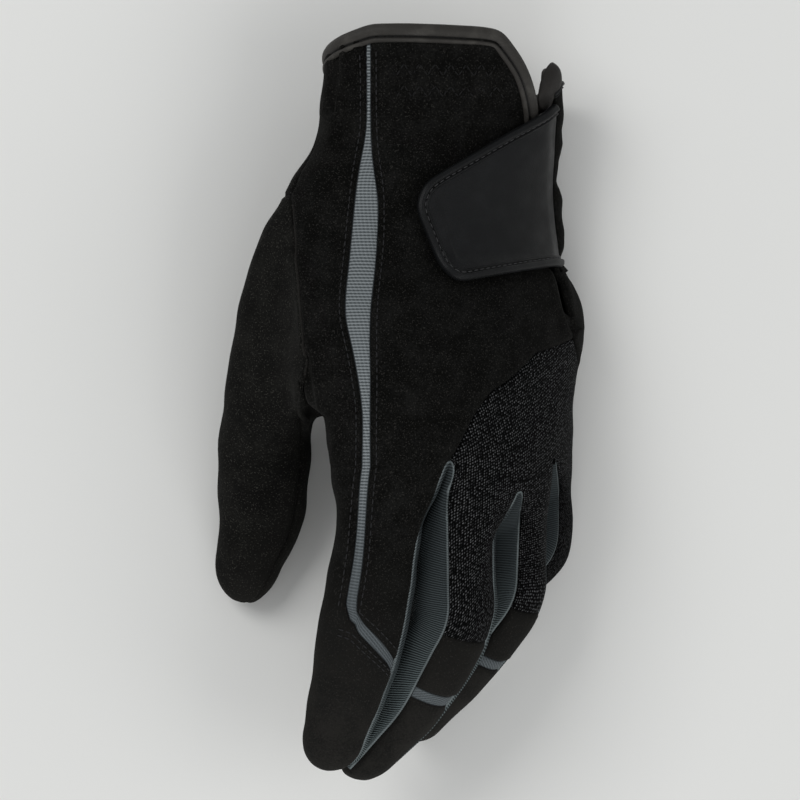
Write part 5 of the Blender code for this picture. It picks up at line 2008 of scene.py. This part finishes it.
@dataclass
class ClosureTab:
    """The tab that closes the slit: a coated panel with a bound edge, and both fastener tapes."""

    skin: HandSkin
    sewing: Stitching
    top: Pair = (89.8, 62.6)
    bottom: Pair = (41.6, 35.8)
    end: Pair = (2.6, 12.6)
    root_overlap: float = 0.5
    root_drop: float = 1.0
    root_run: float = 0.08
    corner: float = 0.88
    corner_cut: float = 0.32
    layer: Pair = (2.5, 3.7)
    crown: float = 0.5
    crown_reach: float = 1.02
    fold_height: float = 0.35
    fold_place: float = 0.9
    fold_width: float = 0.022
    fold_span: Pair = (0.12, 0.9)
    fold_ease: Pair = (0.2, 0.15)
    bead: Bead = Bead(roll=1.15, ridge=1.15, top=1.05, ridge_top=0.7, groove=0.05, wall=1.2, under=0.5)
    pitch: float = 0.7
    passes: int = 12
    pad_ys: Pair = (65.0, 43.5)
    pad_xs: Pair = (17.5, 35.5)
    hook_layer: Pair = (1.5, 2.2)
    loop_layer: Pair = (0.45, 1.2)
    cells: Counts = (9, 8)
    edge_samples: int = 140
    pad_grid: Counts = (25, 31)

    def plan(self, share: Array, down: Array) -> tuple[Array, Array]:
        """Angle and Y on the tab.

        Args:
            share: From its root, at 0, to its free end, at 1.
            down: From its upper edge, at 0, to its lower one, at 1.

        Returns:
            Angles in degrees and Y.
        """
        cut = 1 - self.corner_cut * np.clip((share - self.corner) / (1 - self.corner), 0.0, 1.0) ** 2
        down = 0.5 + (down - 0.5) * cut
        top_y = self.top[0] + (self.top[1] - self.top[0]) * share
        low_y = self.bottom[0] + (self.bottom[1] - self.bottom[0]) * share
        y = top_y + (low_y - top_y) * down
        end_x = self.end[0] + (self.end[1] - self.end[0]) * down
        root_y = self.top[0] + (self.bottom[0] - self.top[0]) * down
        root = smooth_line(root_y, self.skin.knots["slit_palm"]) - self.root_overlap
        root_x = self.skin.form.point(root, root_y)[..., 0]
        return self.skin.form.angle_at(root_x + (end_x - root_x) * share, y), y

    def rise(self, share: Array) -> Array:
        """Height of the tab's upper face over the hand, let down to the palm's edge at its root."""
        return self.layer[1] - self.root_drop * (1 - ease(share / self.root_run))

    def surface(self, share: Array, down: Array) -> Array:
        """Points of the tab's upper face: over the hand by the layer, with a low crown and the soft fold that
        the tape's edge presses through near the free end."""
        across, along = 4 * down * (1 - down), 4 * share * (self.crown_reach - share)
        inner = np.clip(across, 0.0, 1.0) * np.clip(along, 0.0, 1.0)
        first, last = self.fold_span
        fold = (self.fold_height * bell(share - self.fold_place, self.fold_width)
                * ease((down - first) / self.fold_ease[0]) * ease((last - down) / self.fold_ease[1]))
        height = self.rise(share) + self.crown * np.sqrt(inner) + fold
        return self.skin.form.over(*self.plan(share, down), height)

    def build(self) -> None:
        """Makes the tab with its binding and stitches, and both tapes."""
        columns, rows = self.cells
        share, down = np.meshgrid(1.0 - fine(columns) / columns, fine(rows) / rows)
        wall = self.layer[1] - self.layer[0]
        piece = grid_piece("tab_panel_skin", self.surface(share, down), TAB_SKIN, wall)
        place_piece(piece, Body.TAB, Slot.TAB, "tab_panel")
        self._bind()
        for name, finish, layer, body in (("hook_pad", HOOK_TAPE, self.hook_layer, Body.TAB),
                                          ("loop_pad", LOOP_TAPE, self.loop_layer, Body.GLOVE)):
            self._pad(name, finish, layer, body)

    def _bind(self) -> None:
        """The binding along the upper edge, the free end and the lower edge, with stitches in its groove."""
        line = np.linspace(0.0, 1.0, self.edge_samples)
        ones = np.ones_like(line[1:])
        share = np.concatenate((line, ones, line[::-1][1:]))
        down = np.concatenate((np.zeros_like(line), line[1:], ones))
        angle, y = self.plan(share, down)
        path, normals = resample(self.skin.form.over(angle, y, self.rise(share)), self.pitch,
                                 self.skin.form.normal(angle, y))
        path, normals = soften(path, self.passes), unit(soften(normals, self.passes))
        piece = self.bead.piece("tab_binding_skin", path, normals, TAB_SKIN)
        place_piece(piece, Body.TAB, Slot.TAB, "tab_binding")
        row = self.sewing.in_groove(self.bead, path, normals)
        self.sewing.piece("tab_stitches", [row], Body.TAB, Slot.TAB, GREY_THREAD)

    def _pad(self, name: str, finish: Finish, layer: Pair, body: Body) -> None:
        """A rectangle of tape that follows the hand."""
        columns, rows = self.pad_grid
        x, y = np.meshgrid(np.linspace(*self.pad_xs, columns), np.linspace(*self.pad_ys, rows))
        points = self.skin.form.over(self.skin.form.angle_at(x, y), y, layer[1])
        place_piece(grid_piece(name + "_tape", points, finish, layer[1] - layer[0]), body, Slot.TAPE, name)


@dataclass
class ClosureStrip:
    """The puffed suede strip along the palm edge of the slit, which holds the tab, with its bound top."""

    skin: HandSkin
    layer: Pair = (0.45, 1.75)
    wall: float = 0.9
    grid: Counts = (21, 71)
    inset: float = 0.5
    span: Pair = (4.0, 23.0)
    narrowing: float = 16.0
    ys: Pair = (93.6, 40.0)
    peak: float = 3.2
    peak_rise: float = 1.6
    peak_fall: float = 6.0
    edge_roll: float = 0.35
    uneven: float = 0.35
    waves: tuple[float, ...] = (9.0, 13.0, 19.0)
    bead: Bead = Bead(roll=0.8, ridge=0.8, top=0.8, ridge_top=0.5, groove=0.05, wall=0.9, under=0.3)
    bead_columns: Counts = (1, 16)
    bead_pitch: float = 0.6
    puff: Knots = ((97.0, -0.3), (93.0, 0.1), (88.6, 0.3), (84.0, 0.5), (81.4, 1.2), (79.0, 1.6), (76.6, 1.2),
                   (73.0, 0.4), (68.0, 0.3), (65.0, 1.2), (61.0, 2.0), (57.0, 2.1), (53.0, 2.0), (50.0, 1.5),
                   (47.0, 1.0), (44.6, -0.2), (42.8, -0.9), (40.6, -0.9))

    def build(self) -> None:
        """A strip beside the slit, its long edges rolled down to the palm and its top drawn up to a peak, and
        the binding along that top."""
        turn, down = np.meshgrid(*(np.linspace(0.0, 1.0, count) for count in self.grid))
        top, low = self.ys
        peak = ease(self.peak_rise * turn) * (1 - ease(self.peak_fall * down))
        y = top + (low - top) * down + self.peak * peak
        first = self.span[0] * ease(self.narrowing * down) + self.inset
        angle = smooth_line(y, self.skin.knots["slit_palm"]) - (first + (self.span[1] - first) * turn)
        roll = np.clip(4 * turn * (1 - turn), 0.0, 1.0) ** self.edge_roll
        height = self.layer[0] + (self.layer[1] - self.layer[0] + smooth_line(y, self.puff)) * roll
        points = self.skin.form.over(angle, y, height)
        normals = self.skin.form.normal(angle, y)
        points += self.uneven * (roll * unevenness(points, self.waves, seed=3))[..., None] * normals
        piece = grid_piece("closure_strip_suede", points, SUEDE, self.wall)
        place_piece(piece, Body.GLOVE, Slot.SUEDE, "closure_strip")
        bound = slice(*self.bead_columns)
        path, normals = resample(points[0, bound], self.bead_pitch, normals[0, bound])
        piece = self.bead.piece("closure_strip_binding", path[::-1], unit(normals[::-1]), TAB_SKIN)
        place_piece(piece, Body.GLOVE, Slot.TAB)


@dataclass
class WristElastic:
    """The gathered elastic sewn inside the wrist."""

    skin: HandSkin
    ys: Pair = (102.9, 88.9)
    xs: Pair = (-5.0, 27.0)
    grid: Counts = (97, 29)
    depth: float = 1.6
    wall: float = 0.6
    gather: float = 0.3
    gather_pitch: float = 3.4

    def build(self) -> None:
        """A band under the skin of the back, waved by sin(2π·x / pitch)."""
        columns, rows = self.grid
        x, y = np.meshgrid(np.linspace(*self.xs, columns), np.linspace(*self.ys, rows))
        height = self.gather * (np.sin(2 * np.pi * x / self.gather_pitch) - 1.0) - self.depth
        points = self.skin.form.over(self.skin.form.angle_at(x, y), y, height)
        piece = grid_piece("wrist_elastic_web", points, ELASTIC_WEB, self.wall)
        place_piece(piece, Body.GLOVE, Slot.ELASTIC, "wrist_elastic")


# Studio


@dataclass(frozen=True)
class SoftBox:
    """A square lamp: its place, its size, and the share of full white that it gives a surface facing it."""

    place: Triple
    size: float
    level: float

    def build(self, name: str) -> None:
        """An area lamp that points at the origin, with power level · π² · distance²."""
        lamp = bpy.data.lights.new(name, "AREA")
        lamp.shape = "SQUARE"
        lamp.size = self.size
        lamp.energy = self.level * math.pi ** 2 * float(np.dot(self.place, self.place))
        thing = bpy.data.objects.new(name, lamp)
        bpy.context.scene.collection.objects.link(thing)
        way = -np.array(self.place)
        flat = math.hypot(way[0], way[1])
        thing.rotation_euler = (math.atan2(flat, -way[2]), 0.0, math.atan2(way[1], way[0]) - math.pi / 2)
        thing.location = self.place


@dataclass
class Studio:
    """A pale floor, soft lamps, an even sky, and the camera straight above the glove."""

    floor_size: float = 6.0
    sky: str = "#e9ebee"
    sky_level: float = 0.5
    lamps: tuple[SoftBox, ...] = (SoftBox((-0.9, 0.7, 1.3), 0.9, 0.4), SoftBox((1.1, -0.3, 1.1), 1.0, 0.2),
                                  SoftBox((0.1, -1.5, 0.6), 0.9, 0.35))
    floor_lines: int = 9
    view_width: float = 240.0
    view_centre: Pair = (0.28, 1.02)
    view_height: float = 3.0
    focus_height: float = 30.0
    sensor: float = 36.0
    view_end: float = 20.0

    def build(self) -> None:
        """Makes the floor, the lamps, the sky and the camera."""
        half = self.floor_size / 2
        line = np.linspace(-half, half, self.floor_lines)
        x, y = np.meshgrid(line, line[::-1])
        points = np.stack((x, y, np.zeros_like(x)), axis=-1).reshape(-1, 3)
        mesh = bpy.data.meshes.new("floor_paper")
        mesh.from_pydata(points.tolist(), [], grid_faces(*x.shape).tolist())
        mesh.materials.append(PAPER.material())
        floor = bpy.data.objects.new("floor_paper", mesh)
        bpy.context.scene.collection.objects.link(floor)
        for number, lamp in enumerate(self.lamps):
            lamp.build(f"soft_box_{number + 1}")
        world = bpy.data.worlds.new("studio_sky")
        world.use_nodes = True
        background = world.node_tree.nodes["Background"]
        background.inputs["Color"].default_value = linear(self.sky)
        background.inputs["Strength"].default_value = self.sky_level
        bpy.context.scene.world = world
        bpy.context.scene.view_settings.view_transform = "Standard"
        self._camera()

    def _camera(self) -> None:
        """A long lens from above, whose frame is as wide as the view at the height of the glove's middle."""
        camera = bpy.data.cameras.new("camera")
        camera.sensor_width = self.sensor
        distance = self.view_height - self.focus_height * MM
        camera.lens = self.sensor * distance / (self.view_width * MM)
        camera.clip_end = self.view_end
        thing = bpy.data.objects.new("camera", camera)
        thing.location = (self.view_centre[0] * MM, self.view_centre[1] * MM, self.view_height)
        bpy.context.scene.collection.objects.link(thing)
        bpy.context.scene.camera = thing


def main() -> None:
    """Builds the glove's looks in order, then its studio."""
    logging.basicConfig(level=logging.INFO, format="%(name)s %(message)s")
    skin = HandSkin(HandForm())
    stalls = Stalls(skin)
    shell = GloveShell(skin, stalls)
    shell.build()
    sewing = Stitching(skin, stalls, shell)
    sewing.build_stripe()
    sewing.build_thumb_edge()
    sewing.build_elastic()
    CuffBinding(skin, sewing).build()
    ClosureTab(skin, sewing).build()
    ClosureStrip(skin).build()
    WristElastic(skin).build()
    Studio().build()


if __name__ == "__main__":
    main()
